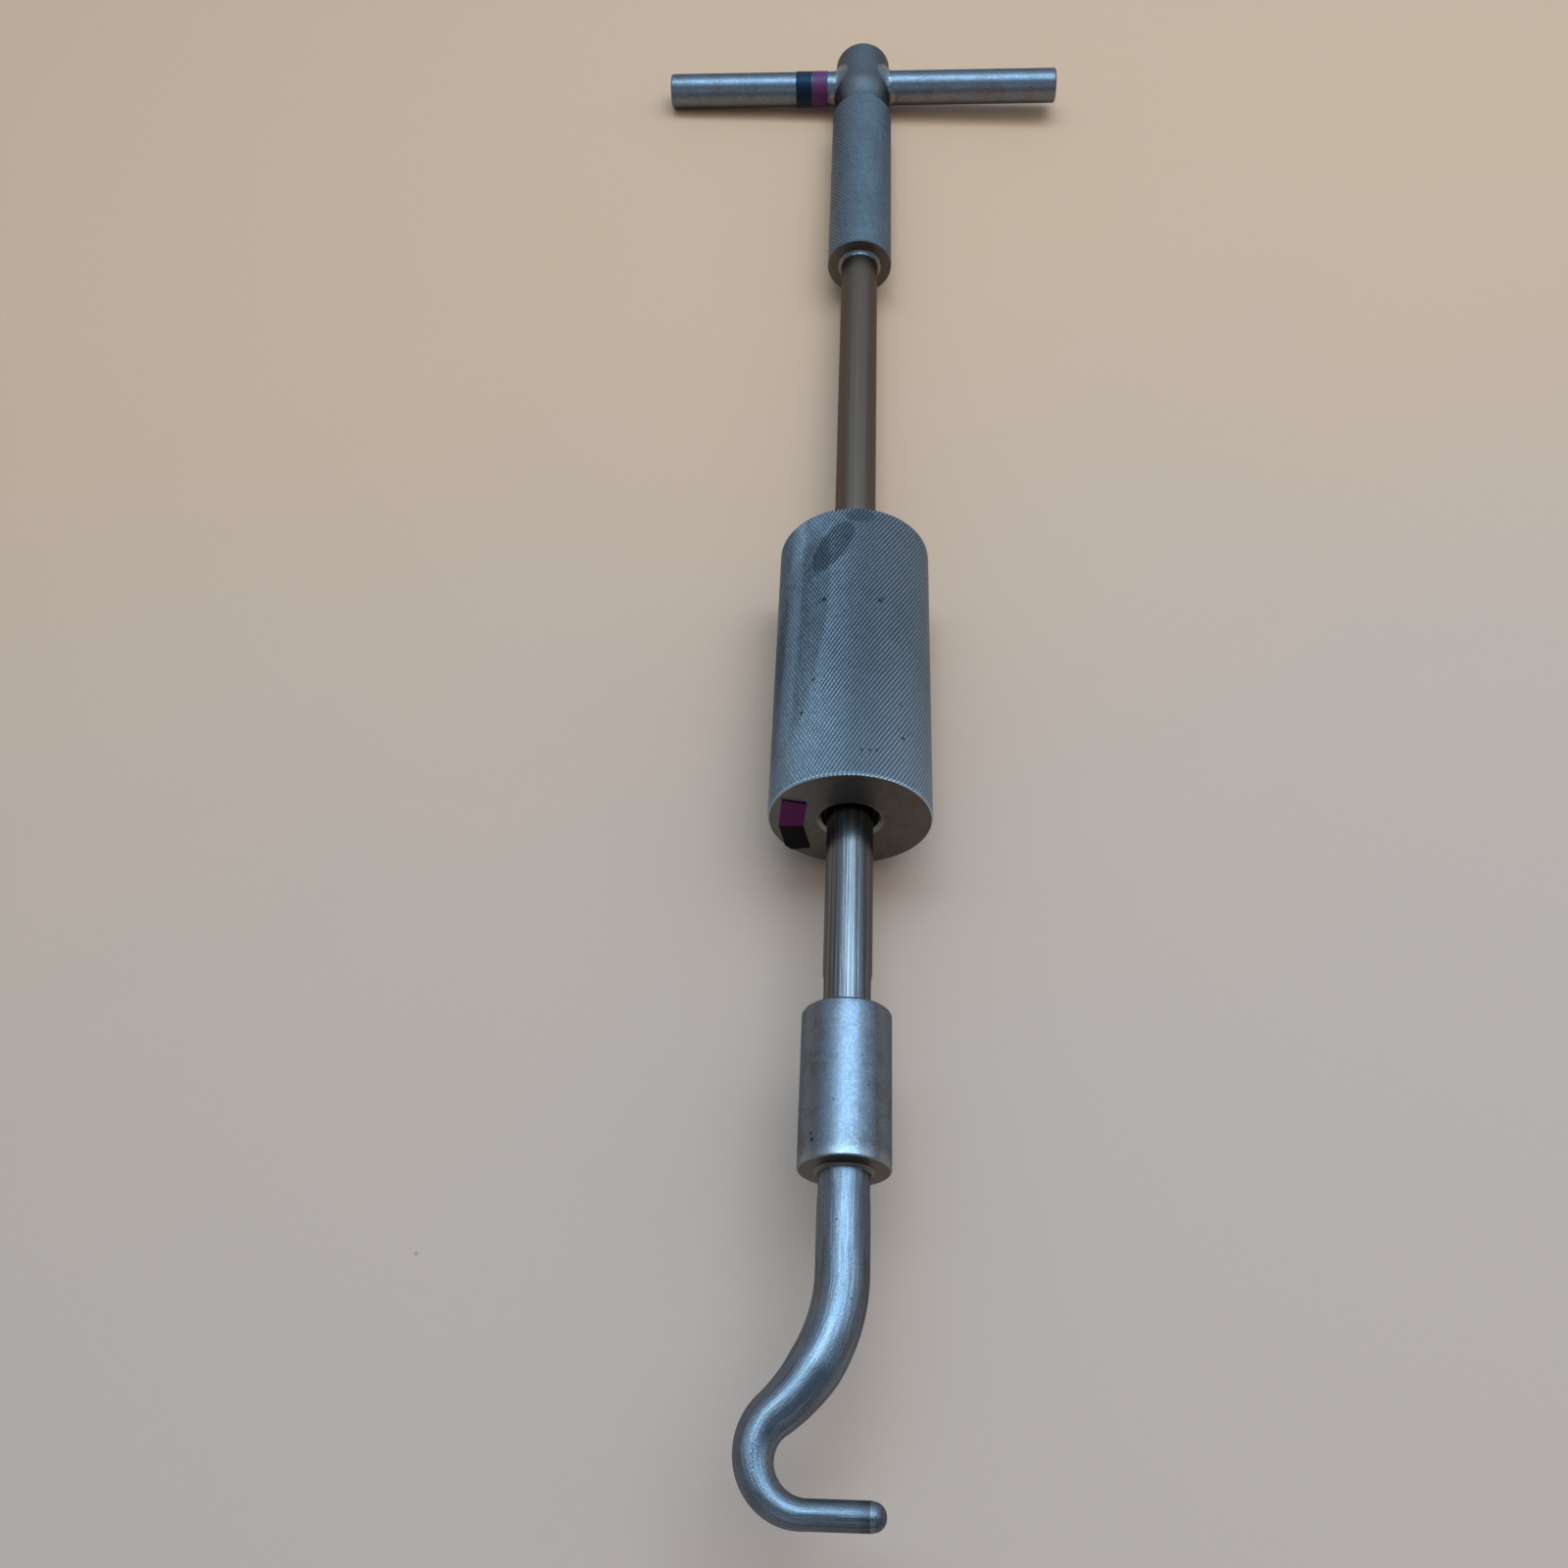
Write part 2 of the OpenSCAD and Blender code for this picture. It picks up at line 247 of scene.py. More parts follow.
class Wire:
    """A node socket to write sums with: each sum of values adds its Math node.

    owner is the material or the world that the node belongs to."""

    def __init__(self, owner, socket=None):
        self.owner = owner
        self.socket = socket

    def add(self, kind, settings=None, inputs=None, output=0):
        """Adds one node with its settings and inputs, and returns the chosen output."""
        tree = self.owner.node_tree
        node = tree.nodes.new(kind)
        for name, value in (settings or {}).items():
            if name == "stops":
                set_stops(node.color_ramp, value)
            else:
                setattr(node, name, value)
        for name, value in (inputs or {}).items():
            if isinstance(value, Wire):
                tree.links.new(value.socket, node.inputs[name])
            else:
                node.inputs[name].default_value = value
        return None if output is None else Wire(self.owner, node.outputs[output])

    def parts(self):
        """The x, y and z of a vector."""
        x = self.add("ShaderNodeSeparateXYZ", None, {0: self})
        y, z = (Wire(self.owner, x.socket.node.outputs[place]) for place in (1, 2))
        return x, y, z

    def sum(self, operation, *values):
        return self.add("ShaderNodeMath", {"operation": operation}, dict(enumerate(values)))

    __add__, __radd__ = maths("ADD"), maths("ADD", True)
    __sub__, __rsub__ = maths("SUBTRACT"), maths("SUBTRACT", True)
    __mul__, __rmul__ = maths("MULTIPLY"), maths("MULTIPLY", True)
    __truediv__, __rtruediv__ = maths("DIVIDE"), maths("DIVIDE", True)
    __pow__, __rpow__ = maths("POWER"), maths("POWER", True)
    __gt__, __lt__ = maths("GREATER_THAN"), maths("LESS_THAN")
    most, least = maths("MAXIMUM"), maths("MINIMUM")

    def root(self):
        return self.sum("SQRT", self)

    def ease(self, low, high, start=0.0, end=1.0):
        """A smooth step from start to end as the value goes from low to high."""
        return self.add(
            "ShaderNodeMapRange", {"interpolation_type": "SMOOTHSTEP"},
            {0: self, 1: low, 2: high, 3: start, 4: end})

    def fall(self, low, high):
        return self.ease(low, high, 1.0, 0.0)

    def scaled(self, x, y, z):
        """The vector with each part scaled."""
        return self.add(
            "ShaderNodeVectorMath", {"operation": "MULTIPLY"}, {0: self, 1: (x, y, z)})

    def distance(self, *point):
        return self.add(
            "ShaderNodeVectorMath", {"operation": "DISTANCE"}, {0: self, 1: point},
            output="Value")

    def noise(self, scale, detail, rough, twist=0.0):
        return self.add(
            "ShaderNodeTexNoise", None,
            {"Vector": self, "Scale": scale, "Detail": detail, "Roughness": rough,
             "Distortion": twist})

    def blend(self, start, end):
        """From the start colour to the end colour by this value."""
        return self.add(
            "ShaderNodeMix", {"data_type": "RGBA"},
            {0: self, 6: paint(start), 7: paint(end)}, output=2)


def layered(tone, *layers):
    """The tone under its layers: each is a mask and the colour that it lays on."""
    for mask, colour_over in layers:
        tone = mask.blend(tone, colour_over)
    return tone


def paint(value):
    """A colour as a socket takes it."""
    return value if isinstance(value, Wire) else (*value[:3], 1.0)


def set_stops(ramp, stops):
    while len(ramp.elements) < len(stops):
        ramp.elements.new(0.5)
    for element, (place, value) in zip(ramp.elements, stops):
        element.position = place
        element.color = paint(value)


def new_material(name, view_colour):
    """An empty node material, given as its object coordinates in millimetres."""
    material = bpy.data.materials.new(name)
    material.use_nodes = True
    material.node_tree.nodes.clear()
    material.diffuse_color = paint(view_colour)
    metres = Wire(material).add("ShaderNodeTexCoord", output="Object")
    return metres.scaled(1000, 1000, 1000)


def path_place(place, radius, reach):
    """Place on a swept bar from its UV map: round it in x and z, and y along its path."""
    turn, along, _ = place.add("ShaderNodeTexCoord", output="UV").parts()
    turn = turn * TURN
    return place.add("ShaderNodeCombineXYZ", None, {
        0: turn.sum("COSINE", turn) * radius, 1: along * reach,
        2: turn.sum("SINE", turn) * radius})


def close_material(place, inputs, relief, height):
    """Adds the bump, the shader and the output, and returns the finished material.

    The relief's height is in millimetres."""
    inputs["Normal"] = place.add(
        "ShaderNodeBump", None, {"Strength": 1.0, "Distance": height * MM, "Height": relief})
    shader = place.add("ShaderNodeBsdfPrincipled", None, inputs)
    place.add("ShaderNodeOutputMaterial", None, {"Surface": shader}, output=None)
    return place.owner


def close_steel(place, tone, rough, relief, height, **more):
    inputs = {"Metallic": 1.0, "Base Color": tone, "Roughness": rough, **more}
    return close_material(place, inputs, relief, height)


def nicks(place, spots):
    """A mask of small soft-edged dents: x, y, z and radius of each, in millimetres."""
    mask = None
    for x, y, z, radius in spots:
        spot = place.distance(x, y, z).fall(radius * 0.5, radius)
        mask = spot if mask is None else mask.most(spot)
    return mask


def pits(place):
    """A mask of tiny dark pits scattered over bare steel."""
    return place.noise(2.3, 1.0, 0.4).ease(0.73, 0.79, 0.0, 0.6)


# Meshes

def grid_mesh(name, rings, closed=False, knurled=(), notch=0.5, shades=None, sharp=30):
    """A mesh skinned over rings of points, with its UV map running round and along them.

    closed joins the last ring to the first; otherwise the two ends are capped. Rows in
    knurled are cut into points: the grooves one way keep their full depth, and notch is
    the share of it that the other way's have. shades gives each row's material index, and
    sharp is the angle in degrees past which an edge stays sharp."""
    rings = np.asarray(rings, float)
    rows, sides = rings.shape[:2]
    bands = rows if closed else rows - 1
    row = np.repeat(np.arange(bands), sides)
    side = np.tile(np.arange(sides), bands)
    quads = np.stack([
        np.stack([row, row, row + 1, row + 1], 1),
        np.stack([side, side + 1, side + 1, side], 1)], 2)
    cut = np.isin(row, list(knurled))
    even = (row + side) % 2 == 0
    notched = quads[cut & ~even]
    pieces = [quads[~cut]]
    for corners in ((0, 1, 2), (0, 2, 3)):
        pieces.append(quads[cut & even][:, corners])
    # A notched quad becomes four faces round a middle point, half a row and a side on
    for k in range(4):
        pieces.append(np.stack(
            [notched[:, k], notched[:, (k + 1) % 4], notched[:, 0] + 0.5], 1))
    if not closed:
        ring = np.arange(sides)
        pieces.append(np.stack([np.zeros(sides, int), ring], 1)[None])
        pieces.append(np.stack([np.full(sides, rows - 1), ring[::-1]], 1)[None])

    faces, places, shade = [], [], []
    steps = np.linalg.norm(np.diff(rings, axis=0, append=rings[:1]), axis=2).mean(1)
    along = np.concatenate([[0.0], np.cumsum(steps)])
    along = UV_MARGIN + UV_SPAN * along / along[bands]
    for part in pieces:
        if not len(part):
            continue
        whole = np.floor(part).astype(int)
        index = (whole[..., 0] % rows) * sides + whole[..., 1] % sides
        centre = rows * sides + np.arange(len(part))[:, None]
        index = np.where(part[..., 0] > whole[..., 0], centre, index)
        faces += index.tolist()
        places.append(np.stack(
            [UV_MARGIN + UV_SPAN * part[..., 1] / sides,
             np.interp(part[..., 0], np.arange(len(along)), along)], -1).reshape(-1, 2))
        shade.append(whole[:, :, 0].min(1))

    corners = rings[notched[..., 0] % rows, notched[..., 1] % sides]
    peaks, valleys = corners[:, ::2].mean(1), corners[:, 1::2].mean(1)
    points = np.concatenate([rings.reshape(-1, 3), peaks + (valleys - peaks) * notch])
    mesh = bpy.data.meshes.new(name)
    mesh.from_pydata(points.tolist(), [], faces)
    layer = mesh.uv_layers.new(name="OFBake")
    layer.data.foreach_set("uv", np.concatenate(places).astype(np.float32).ravel())
    if shades is not None:
        shades = np.asarray(shades)
        index = shades[np.minimum(np.concatenate(shade), len(shades) - 1)]
        mesh.polygons.foreach_set("material_index", index.astype(np.int32))
    form = bmesh.new()
    form.from_mesh(mesh)
    bmesh.ops.recalc_face_normals(form, faces=form.faces)
    form.to_mesh(mesh)
    form.free()
    mesh.shade_smooth()
    mesh.set_sharp_from_angle(angle=math.radians(sharp))
    if mesh.validate():
        raise RuntimeError(f"the mesh of {name} had faults")
    return mesh


def new_object(name, data):
    """A new object in the scene."""
    thing = bpy.data.objects.new(name, data)
    bpy.context.scene.collection.objects.link(thing)
    return thing


def add_piece(mesh, body, replaced, materials):
    """Adds a finished piece, which rides on its body and stands for its CAD nodes."""
    piece = new_object(mesh.name, mesh)
    for material in materials:
        mesh.materials.append(material)
    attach(piece, body)
    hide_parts(*replaced)
    return piece


def shares(steps, first=1):
    """The share of a run that is done at each of its steps, up to the whole."""
    return [i / steps for i in range(first, steps + 1)]


def revolve(outline, sides, along="Y"):
    """Rings of a turned shape from its outline of radius and place."""
    turn = np.arange(sides) * TURN / sides
    rings = np.empty((len(outline), sides, 3))
    for ring, (radius, place) in zip(rings, outline):
        ring[:, 0] = radius * np.sin(turn)
        ring[:, 1] = place
        ring[:, 2] = radius * np.cos(turn)
    return rings if along == "Y" else rings[:, :, [1, 0, 2]] + (0, BAR_Y, 0)


def rounded(edge, place, size, way, steps=6):
    """Outline points round an outer edge, where a bar starts (way 1) or ends (way -1)."""
    turns = [math.pi / 2 * i / steps for i in range(steps + 1)]
    points = [
        (edge - size + size * math.sin(t), place + way * size * (1 - math.cos(t)))
        for t in turns]
    return points if way > 0 else points[::-1]


def straight(radius, low, high, steps):
    """Outline points along a straight side, without its two ends."""
    return [(radius, low + (high - low) * i / steps) for i in range(1, steps)]


def knurl_rows(radius, depth, starts, low, high, first_row, sizes):
    """Outline rows of a diamond knurl: points and valleys take turns round each row."""
    step = TURN * radius / starts / math.tan(sizes.helix) / 2
    rows = max(2, round((high - low) / step))
    draw = np.random.default_rng(SEED + starts)
    side = np.arange(2 * starts)
    outline = []
    for i in range(rows + 1):
        worn = sizes.wear * draw.random(2 * starts) ** 3
        valley = (first_row + i + side) % 2 == 0
        radii = np.where(valley, radius - depth, radius - worn)
        outline.append((radii, low + (high - low) * i / rows))
    return outline


def flattened(rings, spots):
    """Presses small dents into the rings: the x, y, z, radius and depth of each."""
    for x, y, z, radius, depth in spots:
        gap = np.linalg.norm(rings - np.array((x, y, z)), axis=2)
        press = depth * np.clip(1 - gap / radius, 0, 1) ** 2
        out = rings * (1, 0, 1)
        out /= np.maximum(np.linalg.norm(out, axis=2, keepdims=True), 1e-9)
        rings = rings - out * press[..., None]
    return rings


# Finishes of the pieces

# Tint of drawn, turned and ground steel seen edge-on, kept dark as painted shade in what
# the edges reflect
SHADED_EDGE_TINT = (0.45, 0.5, 0.55, 1.0)
# Tones laid over the finishes
WORN_AND_HIGHLIT_POINT = (0.62, 0.68, 0.74)
WORN_AND_HIGHLIT_SATIN = (0.42, 0.44, 0.46)
WORN_AND_HIGHLIT_HOOK = (0.46, 0.49, 0.53)
ROD_TARNISH_AND_REFLECTION = (0.212, 0.14, 0.093)
TURNED_FACE = (0.19, 0.2, 0.2)
FACE_FILM_AND_SHADE = (0.12, 0.098, 0.076)
RUBBED_AND_HIGHLIT_FACE = (0.36, 0.36, 0.35)
PIT = (0.05, 0.055, 0.06)
DENT = (0.045, 0.055, 0.065)
BUSH_DUST = (0.09, 0.085, 0.08)


def knurled_steel(
        finish, name, radius, depth, grooves, points, stains=(), spots=(), wear=None):
    """Matt knurled steel: grooves darkened by soil and painted shade, points lightened by wear
    and a painted highlight, stains and nicks.

    grooves and points say how strong the soil and shade and the wear and highlight are. wear
    adds lighter places that only this piece has."""
    place = new_material(name, finish.knurled)
    x, y, z = place.parts()
    rise = (x * x + z * z).root().ease((radius - depth) / MM, radius / MM)
    broad = place.scaled(1, 0.6, 1).noise(0.11, 3.0, 0.55)
    cloud = place.noise(0.5, 4.0, 0.6)
    grain = place.noise(5.0, 3.0, 0.6)
    # The grooves are darkened by soil and by painted shade
    dirt_and_shade = (1 - rise) * grooves + cloud.ease(0.45, 0.75) * 0.12 + broad.ease(0.42, 0.7) * 0.12
    clear = 1.0
    for middle_x, middle_y, lean, long_way, short_way, strength in stains:
        c, s = math.cos(math.radians(lean)), math.sin(math.radians(lean))
        across = ((x - middle_x) * s - (y - middle_y) * c) / short_way
        down = ((x - middle_x) * c + (y - middle_y) * s) / long_way
        ragged = across * across + down * down + (cloud - 0.5) * 0.9
        stain = ragged.ease(0.8, 1.1, strength, 0.0) * (z > 0.0)
        dirt_and_shade = dirt_and_shade + stain
        clear = (1 - stain * 1.5) * clear
    # The points are lightened by wear and by a painted highlight
    wear_and_highlight = rise ** 2.5 * points * clear
    if wear:
        wear_and_highlight = wear_and_highlight + wear(x, y, z)
    tone = layered(
        finish.knurled, (dirt_and_shade.least(1.0), finish.grime_and_shade), (wear_and_highlight.least(1.0), WORN_AND_HIGHLIT_POINT))
    rough = 0.52 + cloud * 0.1 + dirt_and_shade * 0.08 - wear_and_highlight * 0.12
    if spots:
        mark = nicks(place, spots)
        tone = mark.blend(tone, DENT)
        rough = rough + mark * 0.2
    return close_steel(place, tone, rough, grain, 0.02)


def weight_highlights_and_streak(x, y, z):
    """Lighter places of the weight: painted highlight on its lower rim, its lower half and the
    right of its top, and a long lighter streak down its left.
    """
    # Painted highlight along the lower rim, fading up the lower half
    low = y.ease(172.8, 174.3, 0.6, 0.0) + y.ease(175.0, 225.0, 0.12, 0.0)
    off = x + 18.2 + (y - 195) * -0.03
    streak = (off * off).ease(0.0, 7.0, 0.13, 0.0) * y.ease(176.0, 196.0)
    # The top is painted lighter towards the right, as painted light
    return low + (streak + x.ease(0.0, 12.0, 0.0, 0.08)) * (z > 0.0)


def face_steel(finish, name, ring, bar=False):
    """A turned end face: fine rings, a brownish film painted darker to the right and lighter
    to the left, and a ring round the bore that is rubbed and painted brighter as a highlight.

    ring is the rubbed ring's radius; bar is for faces across the cross bar."""
    place = new_material(name, finish.satin)
    x, y, z = place.parts()
    off = y - BAR_Y / MM if bar else x
    across = (off * off + z * z).root()
    rings = place.add(
        "ShaderNodeTexNoise", {"noise_dimensions": "1D"},
        {"W": across, "Scale": 5.0, "Detail": 3.0, "Roughness": 0.6})
    cloud = place.noise(0.35, 4.0, 0.62)
    speck = place.noise(2.6, 2.0, 0.5)
    # Thicker film to the right is painted shade, thinner to the left a painted reflection
    film = cloud.ease(0.25, 0.75, 0.45, 0.75) + x.ease(-14.0, 16.0, -0.2, 0.3)
    # The ring round the bore is rubbed, and painted brighter as a highlight
    rubbed = across.fall(ring, ring + 0.5)
    tone = layered(
        TURNED_FACE, (film.least(1.0), FACE_FILM_AND_SHADE), (rubbed * 0.8, RUBBED_AND_HIGHLIT_FACE),
        (speck.ease(0.68, 0.8) * 0.2, finish.grime_and_shade))
    rough = 0.34 + cloud * 0.08 + rings * 0.06 - rubbed * 0.06
    return close_steel(place, tone, rough, rings + speck * 0.3, 0.01)


def satin_steel(finish, name, base, along="Y", spots=(), smooth=0.25, height=0.03, rim=None):
    """Satin steel bar or turned steel: fine lines, mottling, scratches and small nicks.

    smooth is the least roughness, height the relief's in millimetres, and rim the place of a
    lower edge that is worn and painted brighter as a highlight."""
    place = new_material(name, base)
    stretch, across = (0.5, 0.035, 0.5), (0.03, 1.0, 0.03)
    if along == "X":
        stretch, across = (0.035, 0.5, 0.5), (1.0, 0.03, 0.03)
    lines = place.scaled(*across).noise(7.0, 3.0, 0.6)
    drawn = place.scaled(*stretch).noise(3.2, 4.0, 0.6)
    broad = place.noise(0.16, 3.0, 0.55)
    mottle = place.noise(1.5, 4.0, 0.65)
    grain = place.noise(7.0, 2.0, 0.5)
    film = broad.ease(0.44, 0.7) * 0.45 + mottle.ease(0.52, 0.74) * 0.35
    bright = mottle.ease(0.50, 0.34) * 0.3 + drawn.ease(0.62, 0.8) * 0.25
    # A painted highlight along the worn lower edge
    if rim is not None:
        bright = bright + place.parts()[1].ease(rim + 0.3, rim + 4.0, 0.5, 0.0)
    mark = pits(place)
    if spots:
        mark = mark.most(nicks(place, spots))
    tone = layered(base, (film, finish.tarnish), (bright, WORN_AND_HIGHLIT_SATIN), (mark, PIT))
    rough = smooth + mottle * 0.14 + broad * 0.08 - bright * 0.12 + mark * 0.2
    relief = mottle * 0.35 + lines * 0.25 + drawn * 0.9 + grain * 0.5
    return close_steel(place, tone, rough, relief, height, **{"Specular Tint": SHADED_EDGE_TINT})


def drawn_steel(finish):
    """The hook's bar: smooth satin, with fine lines that run along its bends."""
    place = new_material("Drawn hook steel", finish.hook)
    x, y, _ = place.parts()
    path = path_place(place, 6.0, 150.0)
    lines = path.scaled(1, 0.02, 1).noise(3.4, 4.0, 0.65)
    coarse = path.scaled(1, 0.05, 1).noise(0.7, 3.0, 0.6, 0.3)
    scratches = path.scaled(0.1, 1.0, 0.1).noise(4.0, 3.0, 0.6)
    broad = place.noise(0.14, 3.0, 0.55)
    speckle = place.noise(2.6, 2.0, 0.6)
    film = broad.ease(0.46, 0.74) * 0.35 + coarse.ease(0.5, 0.75) * 0.3
    bright = lines.ease(0.5, 0.72) * 0.5 + coarse.ease(0.48, 0.3) * 0.2
    bright = bright + speckle.ease(0.54, 0.72) * 0.3
    # A painted highlight ring round the tip, past a ring of painted shade
    bright = bright + x.ease(6.3, 7.0) * x.fall(7.2, 8.0) * 0.4
    # Painted shade low in the bowl and along the tip
    dull_and_shade = x.ease(-14.0, -2.0, 0.0, 0.25) * y.fall(5.0, 10.0)
    dull_and_shade = dull_and_shade + lines.ease(0.5, 0.32) * 0.4 + speckle.ease(0.46, 0.3) * 0.25
    # The ring of painted shade before the tip's highlight ring
    dull_and_shade = dull_and_shade + x.ease(3.0, 6.4) * x.fall(6.6, 6.9) * 0.3
    mark = nicks(place, NICKS_HOOK).most(pits(place))
    tone = layered(
        finish.hook, (film, finish.tarnish), (bright.least(1.0), WORN_AND_HIGHLIT_HOOK),
        (dull_and_shade.least(0.7), finish.grime_and_shade), (mark, PIT))
    rough = 0.2 + coarse * 0.1 + broad * 0.06 + lines * 0.05 + mark * 0.2
    relief = lines + coarse * 0.4 + scratches * 0.3 + speckle * 0.7
    return close_steel(place, tone, rough, relief, 0.06, **{"Specular Tint": SHADED_EDGE_TINT})


def ground_steel(finish):
    """The guide rod: ground along its length, so highlights break into long stripes."""
    place = new_material("Ground rod steel", finish.polished)
    stripes = place.scaled(1, 0.004, 1).noise(1.9, 2.0, 0.6)
    fine = place.scaled(1, 0.015, 1).noise(6.5, 3.0, 0.6)
    broad = place.scaled(1, 0.25, 1).noise(0.13, 3.0, 0.5)
    # Browner towards the handle: tarnish, and a painted reflection of the warm floor
    worn = place.parts()[1].ease(124.0, 260.0)
    film = broad.ease(0.35, 0.7) * 0.3 + fine.ease(0.55, 0.8) * 0.2
    dark = stripes.ease(0.56, 0.44, 0.0, 0.5) * worn.ease(0.0, 1.0, 1.0, 0.25)
    tone = layered(
        finish.polished, (film, finish.tarnish), (worn * 0.85, ROD_TARNISH_AND_REFLECTION),
        (dark, finish.grime_and_shade))
    across = place.scaled(0.12, 1.0, 0.12).noise(6.0, 2.0, 0.6)
    rough = 0.11 + worn * 0.16 + fine * 0.08 + broad * 0.04
    relief = stripes + fine * 0.2 + across * 0.1
    return close_steel(place, tone, rough, relief, 0.12, **{"Specular Tint": SHADED_EDGE_TINT})


def weld_steel(finish, name, dull_and_shade=0.0):
    """Dressed weld beads: soft ripples, under a film that dull_and_shade makes thicker and
    darker, as painted shade.
    """
    place = new_material(name, finish.weld)
    ripple = place.noise(1.3, 3.0, 0.55, 0.4)
    grain = place.noise(6.0, 3.0, 0.6)
    tone = ripple.ease(0.45, 0.8, dull_and_shade, 0.5 + dull_and_shade * 0.5).blend(finish.weld, finish.tarnish)
    return close_steel(place, tone, 0.28 + grain * 0.12, ripple + grain * 0.3, 0.02)


def bush_plastic(finish):
    """Dark bearing plastic with faint turning lines and dust."""
    place = new_material("Bush plastic", finish.plastic)
    lines = place.scaled(0.1, 2.0, 0.1).noise(3.0, 2.0, 0.5)
    dust = place.noise(0.9, 3.0, 0.6)
    tone = dust.ease(0.5, 0.8, 0.0, 0.5).blend(finish.plastic, BUSH_DUST)
    return close_material(
        place, {"Base Color": tone, "Roughness": 0.45 + dust * 0.2}, lines, 0.02)


def tape(name, tint, edge, sheen, painted_sheen_tint=(1.0, 1.0, 1.0)):
    """Marking tape: soft sheen, fine stretch lines, rubbed and dusty patches."""
    place = new_material(name, tint)
    weave = place.scaled(1.0, 0.35, 1.0).noise(4.5, 3.0, 0.6)
    worn = place.noise(0.8, 4.0, 0.6)
    tone = layered(
        tint, (worn.ease(0.6, 0.85) * 0.3, edge), (weave.ease(0.45, 0.8) * 0.15, edge))
    # painted_sheen_tint colours the sheen; on the bands it is a painted blue sheen
    return close_material(
        place,
        {"Base Color": tone, "Roughness": 0.36 + worn * 0.25, "Specular IOR Level": sheen,
         "Specular Tint": paint(painted_sheen_tint)},
        weave, 0.03)


# Pieces

# Nicks are x, y, z and radius; stains are x, y, lean in degrees, half length, half width and
# strength; dents are x, y, z, radius and depth. Lengths are in millimetres
NICKS_WEIGHT = (
    (-8.3, 234.2, 21.0, 0.75), (7.7, 233.7, 21.2, 0.8), (8.6, 234.6, 20.9, 0.5),
    (14.2, 188.3, 17.6, 0.7), (13.6, 199.0, 18.0, 0.5), (-13.6, 196.0, 18.0, 0.6),
    (3.2, 181.0, 22.4, 0.55), (5.2, 181.3, 22.0, 0.5), (7.1, 181.6, 21.4, 0.5),
    (-10.5, 206.0, 20.0, 0.5), (10.9, 214.0, 19.8, 0.45), (-3.0, 192.0, 22.4, 0.4),
    (18.0, 205.0, -13.6, 0.8), (-15.5, 240.0, -16.4, 0.7), (2.0, 215.0, -22.5, 0.7))
STAINS_WEIGHT = (
    (-5.9, 254.2, 62.0, 10.2, 4.6, 0.32), (1.8, 265.4, 0.0, 4.4, 2.6, 0.25),
    (-15.6, 222.0, 82.4, 40.0, 7.6, 0.22))
NICKS_HOOK = (
    (2.2, 43.3, 5.95, 0.45), (-1.5, 61.0, 6.2, 0.35), (-12.0, 22.0, 4.0, 0.4),
    (-4.6, 67.0, 4.3, 0.3), (6.0, -1.0, 3.0, 0.3))
NICKS_COLLAR = (
    (-7.6, 79.0, 8.4, 0.7), (-7.9, 80.6, 8.1, 0.45), (4.0, 99.5, 10.6, 0.3),
    (7.7, 106.5, 8.3, 0.25), (-2.6, 88.0, 11.0, 0.28), (5.6, 92.2, 9.9, 0.3))
DENTS_COLLAR = (
    (9.0, 114.6, 6.9, 1.6, 0.25), (-10.6, 114.6, 4.0, 1.3, 0.22),
    (2.0, 114.7, 11.1, 1.2, 0.12), (-6.0, 114.7, -9.6, 1.6, 0.25),
    (10.0, 74.7, 5.2, 1.0, 0.12), (-8.0, 76.0, 8.0, 0.9, 0.1))
# How far below the collar the dressed neck is, and how much slimmer, in millimetres
DRESSED_NECK = ((1.5, 0.02), (3.0, 0.08), (4.4, 0.22), (6.0, 0.16), (8.0, 0.06), (11.0, 0.0))


def hook_path(sizes):
    """Centre, heading and radius at each ring of the hook, from the stud to the tip."""
    lead, bowl, offset = sizes.lead_radius, sizes.bowl_radius, sizes.bowl_offset
    stud, neck, tip = sizes.stud_radius, sizes.neck_radius, sizes.tip_radius
    turned = math.acos((lead - offset) / (lead + bowl))
    lead_y = bowl + math.sqrt((lead + bowl) ** 2 - (lead - offset) ** 2)
    bowl_turn = math.pi / 2 + turned
    bent = lead * turned + bowl * bowl_turn
    down = -math.pi / 2

    def radius(path):
        taper = max(0.0, path / bent - sizes.full_share) / (1 - sizes.full_share)
        return neck + (tip - neck) * taper

    edge = 0.2 * MM
    path = [
        (0, STUD_END_Y, down, stud - STUD_CHAMFER),
        (0, STUD_END_Y - STUD_CHAMFER, down, stud), (0, COLLAR_Y + GAP, down, stud),
        (0, COLLAR_Y, down, neck - edge), (0, COLLAR_Y - edge, down, neck)]
    for below, slimmer in DRESSED_NECK:
        path.append((0, COLLAR_Y - below * MM, down, neck - slimmer * MM))
    neck_y = COLLAR_Y - DRESSED_NECK[-1][0] * MM
    for t in shares(4):
        path.append((0, neck_y + (lead_y - neck_y) * t, down, neck))
    for t in shares(30):
        a = turned * t
        path.append((
            lead * (math.cos(a) - 1), lead_y - lead * math.sin(a), down - a, radius(lead * a)))
    for t in shares(56):
        b = bowl_turn * t
        path.append((
            -offset - bowl * math.cos(b - turned), bowl * (1 - math.sin(b - turned)),
            down - turned + b, radius(lead * turned + bowl * b)))
    straight_end, crease = sizes.tip_reach - sizes.tip_round, 0.12 * MM
    for t in shares(4):
        path.append((-offset + (straight_end + offset) * t, 0, 0, tip))
    path.append((straight_end + crease * 0.6, 0, 0, tip - crease))
    for t in shares(8):
        a = math.pi / 2 * t
        path.append((
            straight_end + sizes.tip_round * math.sin(a), 0, 0,
            tip - crease - (sizes.tip_round - crease) * (1 - math.cos(a))))
    return path


